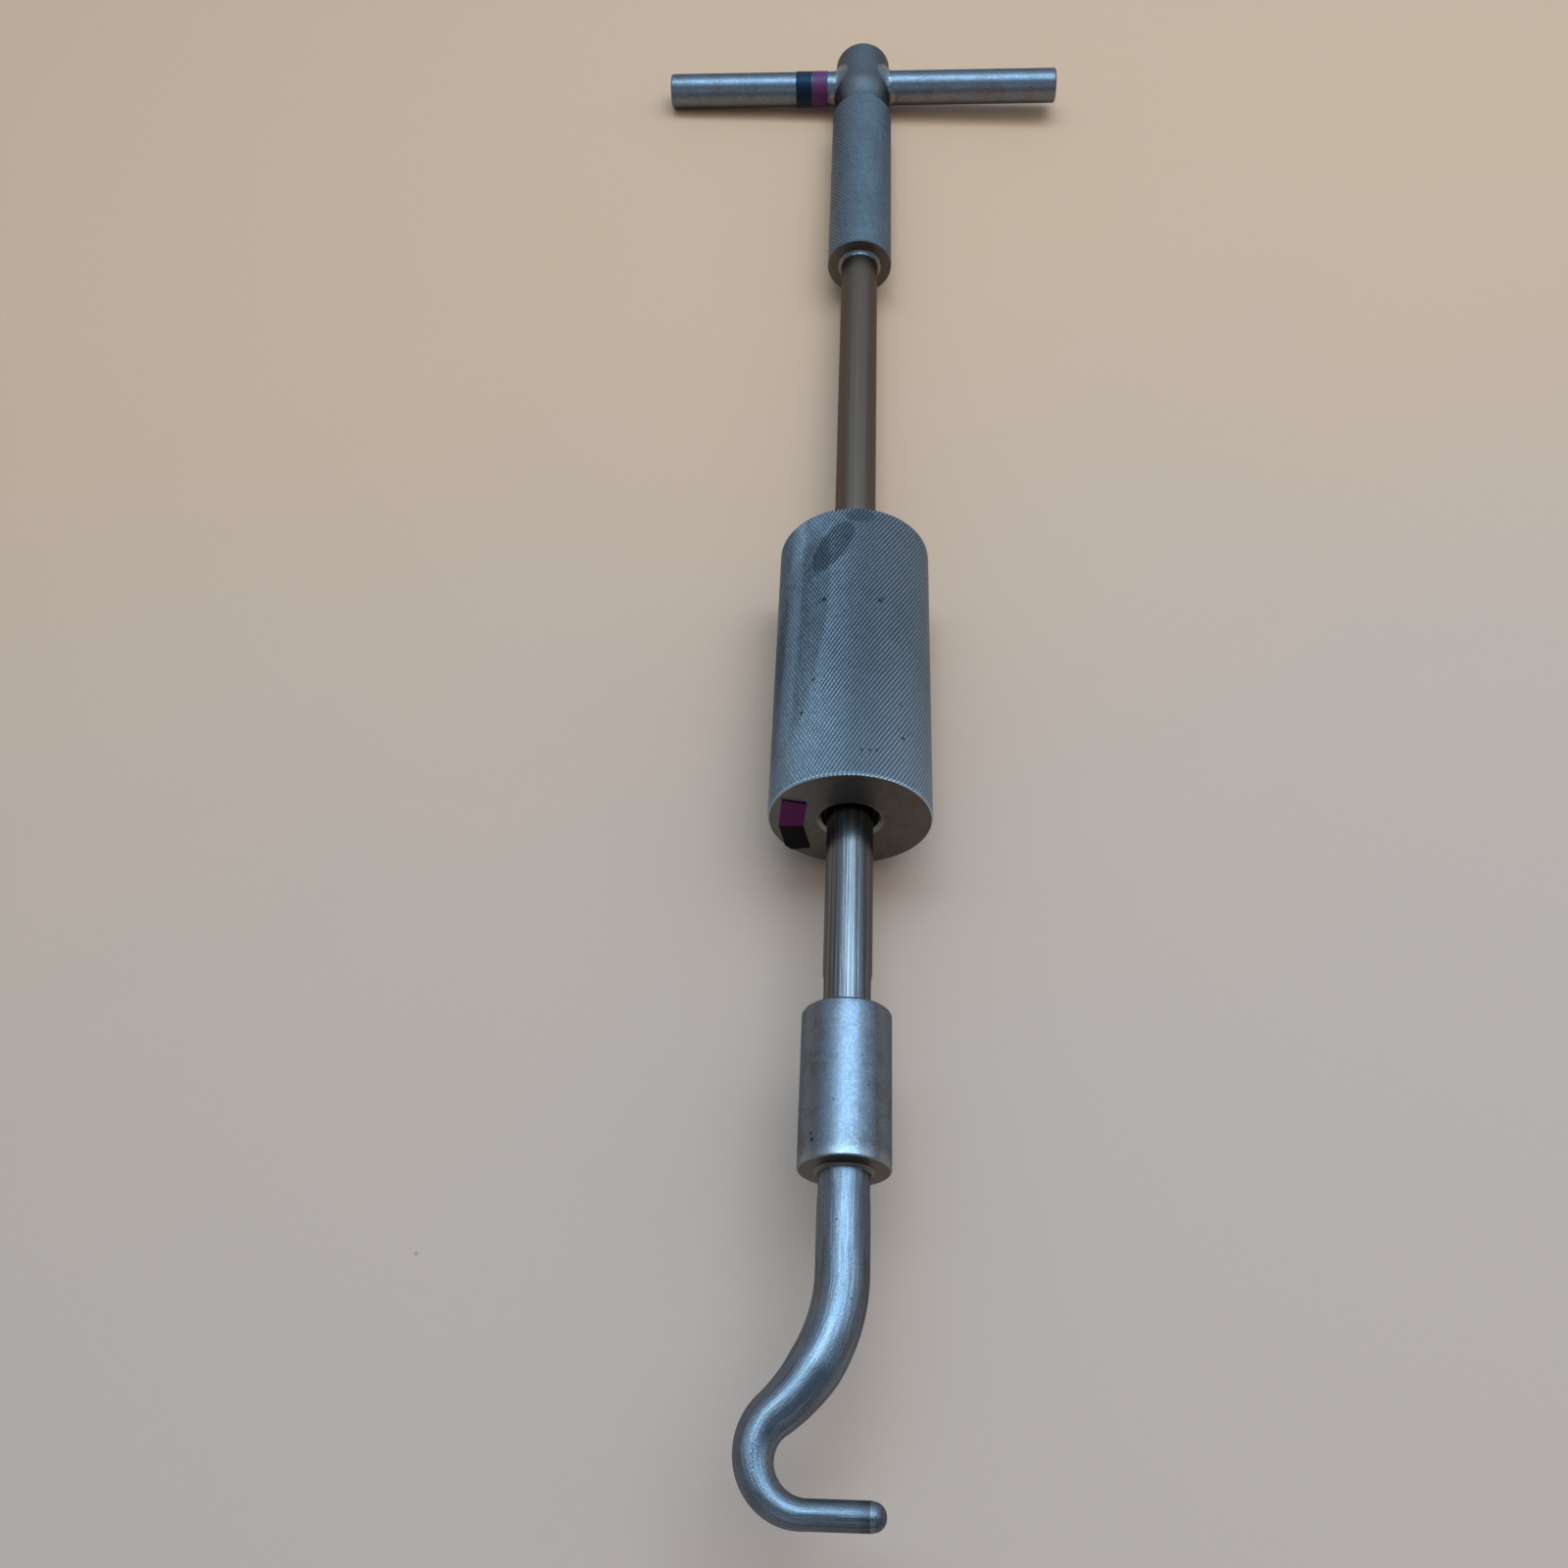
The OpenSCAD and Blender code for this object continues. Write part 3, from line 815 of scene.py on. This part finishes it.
def make_hook(tool):
    sizes = tool.hook
    turn = np.arange(sizes.sides) * TURN / sizes.sides
    rings = []
    for x, y, heading, radius in hook_path(sizes):
        side = np.array((-math.sin(heading), math.cos(heading), 0.0))
        up = np.array((0.0, 0.0, 1.0))
        centre = np.array((x, y, 0.0))
        rings.append(
            centre + radius * (np.outer(np.cos(turn), side) + np.outer(np.sin(turn), up)))
    mesh = grid_mesh("bent_hook", rings)
    add_piece(mesh, "tool", ["hook"], [drawn_steel(tool.finish)])


def make_collar(tool):
    sizes, radius = tool.collar, node_radius("striking_collar")
    bore, depth, lip = sizes.bore_radius, sizes.bore_depth, 0.3 * MM
    outline = [(CORE, COLLAR_Y + depth), (bore, COLLAR_Y + depth), (bore, COLLAR_Y + lip),
               (bore + lip, COLLAR_Y)]
    outline += rounded(radius, COLLAR_Y, sizes.lower_edge, 1)
    outline += straight(radius, COLLAR_Y, ROD_Y, 12)
    outline += rounded(radius, ROD_Y, sizes.upper_edge, -1)
    outline += [(bore + lip, ROD_Y), (bore, ROD_Y - lip), (bore, ROD_Y - depth),
                (CORE, ROD_Y - depth)]
    rings = revolve(outline, sizes.sides)
    rings = flattened(rings, [[v * MM for v in dent] for dent in DENTS_COLLAR])
    shades = [1] * 4 + [0] * (len(outline) - 9) + [1] * 4
    mesh = grid_mesh("turned_collar", rings, shades=shades)
    side = satin_steel(
        tool.finish, "Turned collar steel", tool.finish.satin, spots=NICKS_COLLAR,
        rim=COLLAR_Y / MM)
    face = face_steel(tool.finish, "Turned collar face", 7.0)
    add_piece(mesh, "tool", ["striking_collar"], [side, face])


def make_rod(tool):
    sizes, stud = tool.rod, tool.hook.stud_radius
    edge, half = 0.3 * MM, sizes.flats_across / 2
    flats_end, side_end = ROD_Y + sizes.flats_length, ROD_END_Y - edge
    outline = [
        (stud - STUD_CHAMFER, STUD_START_Y), (stud, STUD_START_Y + STUD_CHAMFER),
        (stud, ROD_Y), (sizes.radius - edge, ROD_Y), (sizes.radius, ROD_Y + edge),
        (sizes.radius, flats_end), (sizes.radius, flats_end + sizes.run_out)]
    outline += straight(sizes.radius, flats_end, side_end, 8)
    outline += [(sizes.radius, side_end), (sizes.radius - edge, ROD_END_Y)]
    rings = revolve(outline, sizes.sides)
    # The flats are cut into the rows from the collar's face to flats_end
    rings[3:6, :, 0] = np.clip(rings[3:6, :, 0], -half, half)
    mesh = grid_mesh("ground_guide_rod", rings, sharp=14)
    add_piece(mesh, "tool", ["guide_rod"], [ground_steel(tool.finish)])


def make_weight(tool):
    sizes, knurl, radius = tool.weight, tool.knurl, node_radius("slide_weight")
    bore, mouth, rim = sizes.bore_radius, sizes.mouth, sizes.rim
    low, high = WEIGHT_Y, WEIGHT_END_Y
    outline = [(bore, low + mouth), (bore + mouth, low), (radius - rim - mouth, low),
               (radius - rim, low)]
    first = len(outline)
    rows = knurl_rows(
        radius, knurl.weight_depth, knurl.weight_starts, low + rim, high - rim, first, knurl)
    outline += rows
    outline += [(radius - rim, high), (radius - rim - mouth, high), (bore + mouth, high),
                (bore, high - mouth)]
    rings = revolve(outline, 2 * knurl.weight_starts)
    dents = [(x * MM, y * MM, z * MM, r * 1.6 * MM, 0.2 * MM) for x, y, z, r in NICKS_WEIGHT]
    rings = flattened(rings, dents)
    shades = [1] * first + [0] * len(rows) + [1] * 4
    shades[first - 1] = 0
    mesh = grid_mesh(
        "knurled_slide_weight", rings, closed=True,
        knurled=range(first - 1, first + len(rows)), notch=knurl.notch, shades=shades,
        sharp=18)
    side = knurled_steel(
        tool.finish, "Knurled weight steel", radius, knurl.weight_depth, grooves=0.6,
        points=0.25, stains=STAINS_WEIGHT, spots=NICKS_WEIGHT, wear=weight_highlights_and_streak)
    face = face_steel(tool.finish, "Turned weight face", 8.8)
    add_piece(mesh, "weight", ["slide_weight"], [side, face])


def make_bushes(tool):
    """The two bushes stay as CAD nodes, in a procedural finish."""
    finish = bush_plastic(tool.finish)
    for node in ("lower_bush", "upper_bush"):
        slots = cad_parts[node].data.materials
        slots.clear()
        slots.append(finish)


def make_grip(tool):
    sizes, knurl = tool.grip, tool.knurl
    radius, waist, hub = node_radius("handle_grip"), sizes.waist_radius, sizes.hub_radius
    seat = tool.rod.radius + GAP
    knurl_end = GRIP_Y + sizes.knurl_length
    swell_start = knurl_end + sizes.waist_length
    swell_end = swell_start + sizes.swell_length
    outline = [
        (CORE, ROD_END_Y), (seat, ROD_END_Y), (seat, GRIP_Y), (radius - sizes.rim, GRIP_Y)]
    first = len(outline)
    rows = knurl_rows(
        radius, knurl.grip_depth, knurl.grip_starts, GRIP_Y + sizes.rim,
        knurl_end - sizes.rim, first, knurl)
    outline += rows
    outline += [(radius - sizes.rim, knurl_end), (waist, knurl_end)]
    for t in shares(16, 0):
        rise = (1 - math.cos(math.pi * t)) / 2
        outline.append((waist + (hub - waist) * rise, swell_start + sizes.swell_length * t))
    outline += straight(hub, swell_end, HUB_END_Y - sizes.hub_round, 4)
    outline += rounded(hub, HUB_END_Y, sizes.hub_round, -1, 8)
    outline += [(CORE, HUB_END_Y)]
    # Mirrored, so that the grip's deeper grooves run the other way from the weight's
    rings = np.roll(revolve(outline, 2 * knurl.grip_starts)[:, ::-1], 1, axis=1)
    # Bore and mouth, knurled grip, waist and hub, then the hub's flat end
    shades = [2] * (first - 1) + [0] * (len(rows) + 1)
    shades += [1] * (len(outline) - len(shades) - 2) + [2, 2]
    mesh = grid_mesh(
        "knurled_handle_grip", rings, knurled=range(first - 1, first + len(rows)),
        notch=knurl.notch, shades=shades, sharp=18)
    side = knurled_steel(
        tool.finish, "Knurled grip steel", radius, knurl.grip_depth, grooves=0.3, points=0.15)
    hub_steel = satin_steel(
        tool.finish, "Satin hub steel", tool.finish.hub, smooth=0.27, height=0.02)
    face = face_steel(tool.finish, "Turned grip face", 7.0)
    piece = add_piece(mesh, "tool", ["handle_grip"], [side, hub_steel, face])
    drill(piece, seat, tool.bar.sides)


def drill(piece, radius, sides):
    """Drills the cross bar's hole through the grip, and finishes it as the hub is."""
    reach = 20 * MM
    rings = revolve([(radius, -reach), (radius, reach)], sides, "X")
    cutter = new_object("drill", grid_mesh("drill", rings))
    cutter.data.materials.append(piece.data.materials[1])
    change = piece.modifiers.new("Drilled hole", "BOOLEAN")
    change.operation = "DIFFERENCE"
    change.solver = "EXACT"
    change.object = cutter
    with bpy.context.temp_override(object=piece, active_object=piece):
        bpy.ops.object.modifier_apply(modifier=change.name)
    bpy.data.meshes.remove(cutter.data)


def make_cross_bar(tool):
    radius, size = tool.rod.radius, tool.bar.end_round
    low, high = node_span("cross_bar", 0)
    outline = rounded(radius, low, size, 1)
    outline += straight(radius, low, high, 12)
    outline += rounded(radius, high, size, -1)
    shades = [1] + [0] * (len(outline) - 3) + [1, 1]
    mesh = grid_mesh("round_cross_bar", revolve(outline, tool.bar.sides, "X"), shades=shades)
    side = satin_steel(
        tool.finish, "Satin cross bar steel", tool.finish.bar, along="X", smooth=0.28)
    face = face_steel(tool.finish, "Turned cross bar ends", 0.4, bar=True)
    add_piece(mesh, "tool", ["cross_bar"], [side, face])


def bead_section(radius, place, width):
    """Closed outline of a hollow-faced bead standing towards the hook on a face."""
    sag, steps = 0.95 * width, 9
    points = [(radius, place), (radius + width, place)]
    for i in range(steps + 1):
        t = math.pi / 2 * i / steps
        points.append((radius + width - sag * math.sin(t), place - width + sag * math.cos(t)))
    points.append((radius, place - width))
    return points


def make_welds(tool):
    finish = weld_steel(tool.finish, "Dressed weld")
    # The neck's bead is darkened by a thicker film, as painted shade
    dull_and_shade = weld_steel(tool.finish, "Neck weld in painted shade", 0.85)
    sides, allowance = tool.rod.sides, 0.1 * MM
    turn = np.arange(sides) * TURN / sides
    ripple = 0.03 * MM * (1.6 + np.sin(31 * turn) + 0.6 * np.sin(17 * turn + 1.0))
    for name, node, radius, place, width, steel in (
            ("dressed_neck_weld", "hook_weld", tool.hook.neck_radius, COLLAR_Y,
             tool.bar.neck_bead, dull_and_shade),
            ("dressed_rod_weld", "rod_weld", tool.rod.radius, GRIP_Y, tool.bar.rod_bead,
             finish)):
        section = bead_section(radius + GAP, place - GAP, width - GAP - allowance)
        outline = [(r + (ripple if 1 < i < len(section) - 2 else 0), y)
                   for i, (r, y) in enumerate(section)]
        mesh = grid_mesh(name, revolve(outline, sides), closed=True, sharp=50)
        add_piece(mesh, "tool", [node], [steel])
    for name, node, way in (
            ("dressed_left_weld", "left_bar_weld", -1),
            ("dressed_right_weld", "right_bar_weld", 1)):
        mesh = grid_mesh(name, hub_bead(tool, way), closed=True, sharp=50)
        add_piece(mesh, "tool", [node], [finish])


def hub_bead(tool, way):
    """Rings of the bead between the cross bar and the round side of the hub."""
    width, gap, steps, sides = tool.bar.bead, 0.03 * MM, 10, tool.bar.sides
    rings = []
    for i in range(sides):
        a = TURN * i / sides
        wave = 0.05 * MM * math.sin(9 * a) + 0.04 * MM * math.sin(23 * a + way)
        section = [(0.0, 0.0), (width, 0.0)]
        for k in range(1, steps):
            t = math.pi / 2 * k / steps
            section.append((
                width * (1 - math.sin(t)) + wave, width * (1 - math.cos(t)) + wave))
        section.append((0.0, width))
        ring = []
        for off_bar, off_hub in section:
            r = tool.rod.radius + gap + max(0.0, off_bar)
            z = r * math.sin(a)
            hub = math.sqrt((tool.grip.hub_radius + gap) ** 2 - z * z)
            ring.append((way * (hub + max(0.0, off_hub)), BAR_Y + r * math.cos(a), z))
        rings.append(ring)
    return rings


def make_bands(tool):
    # The last colour of each band tints its sheen blue, a painted sheen
    for name, node, slot, tint, edge, painted_sheen_tint in (
            ("wrapped_black_band", "black_band", "black_tape", tool.finish.black,
             (0.007, 0.007, 0.008), (0.25, 0.6, 1.0)),
            ("wrapped_purple_band", "purple_band", "purple_tape", tool.finish.purple,
             (0.12, 0.02, 0.10), (0.6, 0.75, 1.0))):
        mesh = grid_mesh(name, band_rings(tool, node), closed=True, sharp=40)
        add_piece(mesh, "tool", [node], [tape(f"{slot} band", tint, edge, 0.58, painted_sheen_tint)])


def band_rings(tool, node):
    """Rings of a tape band wound round the cross bar, whose end laps over its start."""
    sizes = tool.tape
    low, high = node_span(node, 0)
    phase = np.random.default_rng(SEED + len(node)).random(4) * TURN
    seam, inset, ease, sag = 3.5, 0.05 * MM, 0.07 * MM, 0.02 * MM
    inner = tool.rod.radius + sizes.gap
    rings = []
    for i in range(sizes.sides):
        a = TURN * i / sizes.sides
        lap = (a - seam) / sizes.lap
        lift = sizes.thickness * 0.9 * min(1.0, max(0.0, (1 - lap) * 3)) * (lap >= 0)
        outer = inner + sizes.thickness + lift
        wave = 0.06 * MM * math.sin(3 * a + phase[0])
        wave += 0.04 * MM * math.sin(7 * a + phase[1])
        left, right = low + inset + wave, high - inset + wave * 0.6
        section = [
            (left, inner), (left, outer - ease), (left + ease, outer),
            ((left * 2 + right) / 3, outer + sag * math.sin(5 * a + phase[2])),
            ((left + right * 2) / 3, outer + sag * math.sin(4 * a + phase[3])),
            (right - ease, outer), (right, outer - ease), (right, inner)]
        rings.append([(x, BAR_Y + r * math.cos(a), r * math.sin(a)) for x, r in section])
    return rings


def drape(x, z, height, radius):
    """Places a point of a tape mark on the weight's lower face, and over its rim."""
    across, bend = math.hypot(x, z), 0.6 * MM
    flat = radius - bend
    past = max(0.0, across - flat)
    tilt = min(past / bend, math.pi / 2)
    along = max(0.0, past - bend * math.pi / 2)
    out = min(across, flat) + (bend + height) * math.sin(tilt)
    y = WEIGHT_Y + bend - (bend + height) * math.cos(tilt) + along
    return x / across * out, y, z / across * out


def mark_rings(sizes, curl, corners):
    """Rings of a tape mark between its four corners, with its first edge curled up."""
    radius = node_radius("slide_weight")
    a, b, c, d = (np.array(corner) * MM for corner in corners)
    rings = []
    for v in shares(24, 0):
        start, end = a + (d - a) * v, b + (c - b) * v
        top, under = [], []
        for u in shares(14, 0):
            x, z = start + (end - start) * u
            wave = 0.03 * MM * math.sin(9 * u + 5 * v)
            base = sizes.gap + curl * max(0.0, 1 - v * 6) ** 2 * (0.4 + 0.6 * u)
            top.append(drape(x, z, base + sizes.thickness + wave, radius))
            under.append(drape(x, z, base, radius))
        rings.append(top + under[::-1])
    return rings


def make_marks(tool):
    # The face mark's purple and edge are lighter than the band's, as painted light
    bright = [v * 1.35 for v in tool.finish.purple]
    for name, node, slot, tint, edge, curl, corners in (
            ("purple_face_mark", "purple_mark", "purple_tape", bright, (0.2, 0.035, 0.17),
             0.35 * MM, ((-18.3, 10.05), (-11.6, 8.35), (-12.9, -2.6), (-19.6, -2.6))),
            ("black_face_mark", "black_mark", "black_tape", tool.finish.black,
             (0.006, 0.006, 0.006), 0.0,
             ((-19.6, -2.75), (-12.9, -2.75), (-11.3, -13.8), (-17.9, -15.2)))):
        mesh = grid_mesh(name, mark_rings(tool.tape, curl, corners), sharp=40)
        add_piece(mesh, "weight", [node], [tape(f"{slot} mark", tint, edge, 0.06)])


# Stage

def floor_material(stage):
    """Pale floor: its colour drifts from the handle to the hook as painted light falling off,
    with faint specks.
    """
    place = new_material("Pale floor", stage.near_floor)
    x, y, _ = place.parts()
    drift = place.noise(0.006, 2.0, 0.5)
    fine = place.noise(0.9, 3.0, 0.6)
    # The drift from near_floor to far_floor is painted light falling off across the floor
    away = (y + (drift - 0.5) * 160 - x * 0.25).ease(60.0, 470.0)
    specks = place.add(
        "ShaderNodeTexVoronoi", {"feature": "F1"},
        {"Vector": place, "Scale": 0.022, "Randomness": 1.0}, output="Distance")
    tone = layered(
        stage.near_floor, (away, stage.far_floor),
        (fine.ease(0.35, 0.75) * 0.1, (0.4, 0.34, 0.28)),
        (specks.fall(0.006, 0.018) * 0.45, (0.16, 0.12, 0.09)))
    return close_material(
        place, {"Base Color": tone, "Roughness": 0.72, "Specular IOR Level": 0.25}, fine, 0.03)


def make_floor(tool):
    """The floor touches the weight's far rim and the left end of the cross bar.

    lean is its slope from side to side, and clear keeps it just off the tool."""
    lean, clear = 0.035, 0.05 * MM
    rim = -node_radius("slide_weight") * math.hypot(1, lean)
    bar = -node_radius("cross_bar") + lean * node_span("cross_bar", 0)[0]
    slope = (bar - rim) / (BAR_Y - WEIGHT_END_Y)
    middle, half, row = 0.27, 3.0, 13
    steps = np.linspace(-half, half, row)
    points = [(x, y, rim + slope * (y - WEIGHT_END_Y) - lean * x - clear)
              for y in steps + middle for x in steps]
    corners = [i * row + k for i in range(row - 1) for k in range(row - 1)]
    mesh = bpy.data.meshes.new("pale_floor")
    mesh.from_pydata(points, [], [(c, c + 1, c + row + 1, c + row) for c in corners])
    mesh.materials.append(floor_material(tool.stage))
    floor = new_object("pale_floor", mesh)


def make_world():
    """Soft room light all round the tool, and a pale backdrop that only the camera sees.

    x runs to the right, y away past the handle, and each is a share of the whole direction."""
    world = bpy.data.worlds.new("Soft room")
    bpy.context.scene.world = world
    world.use_nodes = True
    world.node_tree.nodes.clear()
    way = Wire(world).add("ShaderNodeTexCoord", output="Generated")
    x, y, up = way.parts()
    # Dim and grey low down, and cooler and brighter overhead
    sky = way.add("ShaderNodeValToRGB", {"stops": (
        (0.0, (0.19, 0.19, 0.2)), (0.16, (0.2, 0.21, 0.23)), (0.34, (0.29, 0.33, 0.39)),
        (0.55, (0.39, 0.49, 0.61)), (0.72, (0.45, 0.6, 0.79)), (1.0, (0.45, 0.6, 0.79)))},
        {0: up})
    far = y.ease(0.7, 0.95) * 0.85
    right = x.ease(0.3, 0.6) * up.ease(0.2, 0.45) * 0.5
    near = y.fall(-0.6, 0.2)
    behind_camera = y.fall(-0.8, -0.5) * up.ease(0.25, 0.5)
    overhead = up.ease(0.84, 0.95) * y.fall(0.14, 0.3)
    dark_patch = way.distance(0.62, -0.3, 0.72).fall(0.14, 0.4)
    # A bright strip across the ceiling, brighter on its left
    strip = y.ease(0.04, 0.12) * y.fall(0.2, 0.32)
    strip = strip * x.ease(-0.6, -0.4) * x.fall(0.6, 0.8) * up.ease(0.4, 0.6)
    glow = x.ease(-0.15, 0.1).blend((3.0, 4.6, 5.8), (1.4, 2.2, 2.9))
    window = x.ease(0.6, 0.85) * up.ease(0.3, 0.5) * y.ease(-0.2, 0.0) * y.fall(0.25, 0.5)
    seen_by_camera = way.add("ShaderNodeLightPath")
    sky = layered(
        sky, (far, (0.45, 0.59, 0.73)), (right, (0.5, 0.8, 1.15)),
        (near, (0.15, 0.175, 0.21)), (behind_camera, (0.52, 0.64, 0.77)),
        (overhead, (0.115, 0.14, 0.16)), (dark_patch, (0.035, 0.06, 0.12)), (strip, glow),
        (window, (1.0, 1.2, 1.37)), (seen_by_camera, (0.58, 0.53, 0.48)))
    light = way.add("ShaderNodeBackground", None, {"Color": sky, "Strength": 1.0})
    way.add("ShaderNodeOutputWorld", None, {"Surface": light}, output=None)


def add_lamp(name, tint, power, size, place, glossy=True):
    data = bpy.data.lights.new(name, "AREA")
    data.shape = "RECTANGLE"
    data.size, data.size_y = size
    data.color = tint
    data.energy = power
    lamp = new_object(name, data)
    lamp.location = place
    lamp.visible_glossy = glossy


def make_camera():
    """The camera as it was solved from the photograph's straight edges."""
    data = bpy.data.cameras.new("Camera")
    data.lens, data.sensor_width = 35.1, 36.0
    data.clip_start = 0.01
    camera = new_object("Camera", data)
    camera.location = (0.00503, -0.0518, 0.3517)
    camera.rotation_euler = [math.radians(turn) for turn in (33.9946, 2.3528, 2.198)]
    bpy.context.scene.camera = camera


def make_stage(tool):
    stage = tool.stage
    make_floor(tool)
    make_world()
    add_lamp("Overhead lamp", stage.lamp, stage.lamp_power, (1.0, 0.7), (0.2, 0.63, 1.2))
    add_lamp(
        "Fill lamp", stage.fill, stage.fill_power, (1.6, 1.6), (0.5, 0.1, 1.5), glossy=False)
    make_camera()
    bpy.context.scene.view_settings.view_transform = "Standard"


# Operators and panel

class SLAP_OT_hook(Operator):
    """Sweeps the bent hook with its stud, taper and rounded tip"""
    bl_idname = "slap_hammer.hook"
    bl_label = "Hook"

    def execute(self, context):
        make_hook(context.scene.slap_hammer)
        return {"FINISHED"}


class SLAP_OT_collar(Operator):
    """Turns the striking collar with its worn edges"""
    bl_idname = "slap_hammer.collar"
    bl_label = "Striking collar"

    def execute(self, context):
        make_collar(context.scene.slap_hammer)
        return {"FINISHED"}


class SLAP_OT_rod(Operator):
    """Turns the guide rod with its two spanner flats"""
    bl_idname = "slap_hammer.rod"
    bl_label = "Guide rod"

    def execute(self, context):
        make_rod(context.scene.slap_hammer)
        return {"FINISHED"}


class SLAP_OT_weight(Operator):
    """Turns and knurls the slide weight"""
    bl_idname = "slap_hammer.weight"
    bl_label = "Slide weight"

    def execute(self, context):
        make_weight(context.scene.slap_hammer)
        return {"FINISHED"}


class SLAP_OT_bushes(Operator):
    """Gives the two guide bushes their plastic finish"""
    bl_idname = "slap_hammer.bushes"
    bl_label = "Guide bushes"

    def execute(self, context):
        make_bushes(context.scene.slap_hammer)
        return {"FINISHED"}


class SLAP_OT_grip(Operator):
    """Turns and knurls the grip, with its smooth hub"""
    bl_idname = "slap_hammer.grip"
    bl_label = "Handle grip"

    def execute(self, context):
        make_grip(context.scene.slap_hammer)
        return {"FINISHED"}


class SLAP_OT_bar(Operator):
    """Turns the cross bar with its rounded ends"""
    bl_idname = "slap_hammer.bar"
    bl_label = "Cross bar"

    def execute(self, context):
        make_cross_bar(context.scene.slap_hammer)
        return {"FINISHED"}


class SLAP_OT_welds(Operator):
    """Lays the four dressed weld beads"""
    bl_idname = "slap_hammer.welds"
    bl_label = "Weld beads"

    def execute(self, context):
        make_welds(context.scene.slap_hammer)
        return {"FINISHED"}


class SLAP_OT_bands(Operator):
    """Wraps the two tape bands round the cross bar"""
    bl_idname = "slap_hammer.bands"
    bl_label = "Tape bands"

    def execute(self, context):
        make_bands(context.scene.slap_hammer)
        return {"FINISHED"}


class SLAP_OT_marks(Operator):
    """Lays the two tape marks on the weight's lower face"""
    bl_idname = "slap_hammer.marks"
    bl_label = "Tape marks"

    def execute(self, context):
        make_marks(context.scene.slap_hammer)
        return {"FINISHED"}


class SLAP_OT_stage(Operator):
    """Makes the floor, the room light, the lamps and the camera"""
    bl_idname = "slap_hammer.stage"
    bl_label = "Stage"

    def execute(self, context):
        make_stage(context.scene.slap_hammer)
        return {"FINISHED"}


STEPS = (
    SLAP_OT_hook, SLAP_OT_collar, SLAP_OT_rod, SLAP_OT_weight, SLAP_OT_bushes, SLAP_OT_grip,
    SLAP_OT_bar, SLAP_OT_welds, SLAP_OT_bands, SLAP_OT_marks, SLAP_OT_stage)


class SLAP_PT_steps(Panel):
    """Lists the steps that make the slap hammer"""
    bl_idname = "SLAP_PT_steps"
    bl_label = "Slap hammer"
    bl_space_type = "VIEW_3D"
    bl_region_type = "UI"
    bl_category = "Slap hammer"

    def draw(self, context):
        for step in STEPS:
            self.layout.operator(step.bl_idname, text=step.bl_label)


GROUPS = (HookSizes, CollarSizes, RodSizes, KnurlSizes, WeightSizes, GripSizes, BarSizes,
          TapeSizes, Finishes, StageSettings, SlapHammer)


def register():
    for group in (*GROUPS, *STEPS, SLAP_PT_steps):
        bpy.utils.register_class(group)
    bpy.types.Scene.slap_hammer = PointerProperty(type=SlapHammer)


def unregister():
    del bpy.types.Scene.slap_hammer
    for group in reversed((*GROUPS, *STEPS, SLAP_PT_steps)):
        bpy.utils.unregister_class(group)


def main():
    register()
    for step in STEPS:
        group, name = step.bl_idname.split(".")
        getattr(getattr(bpy.ops, group), name)()


if __name__ == "__main__":
    main()
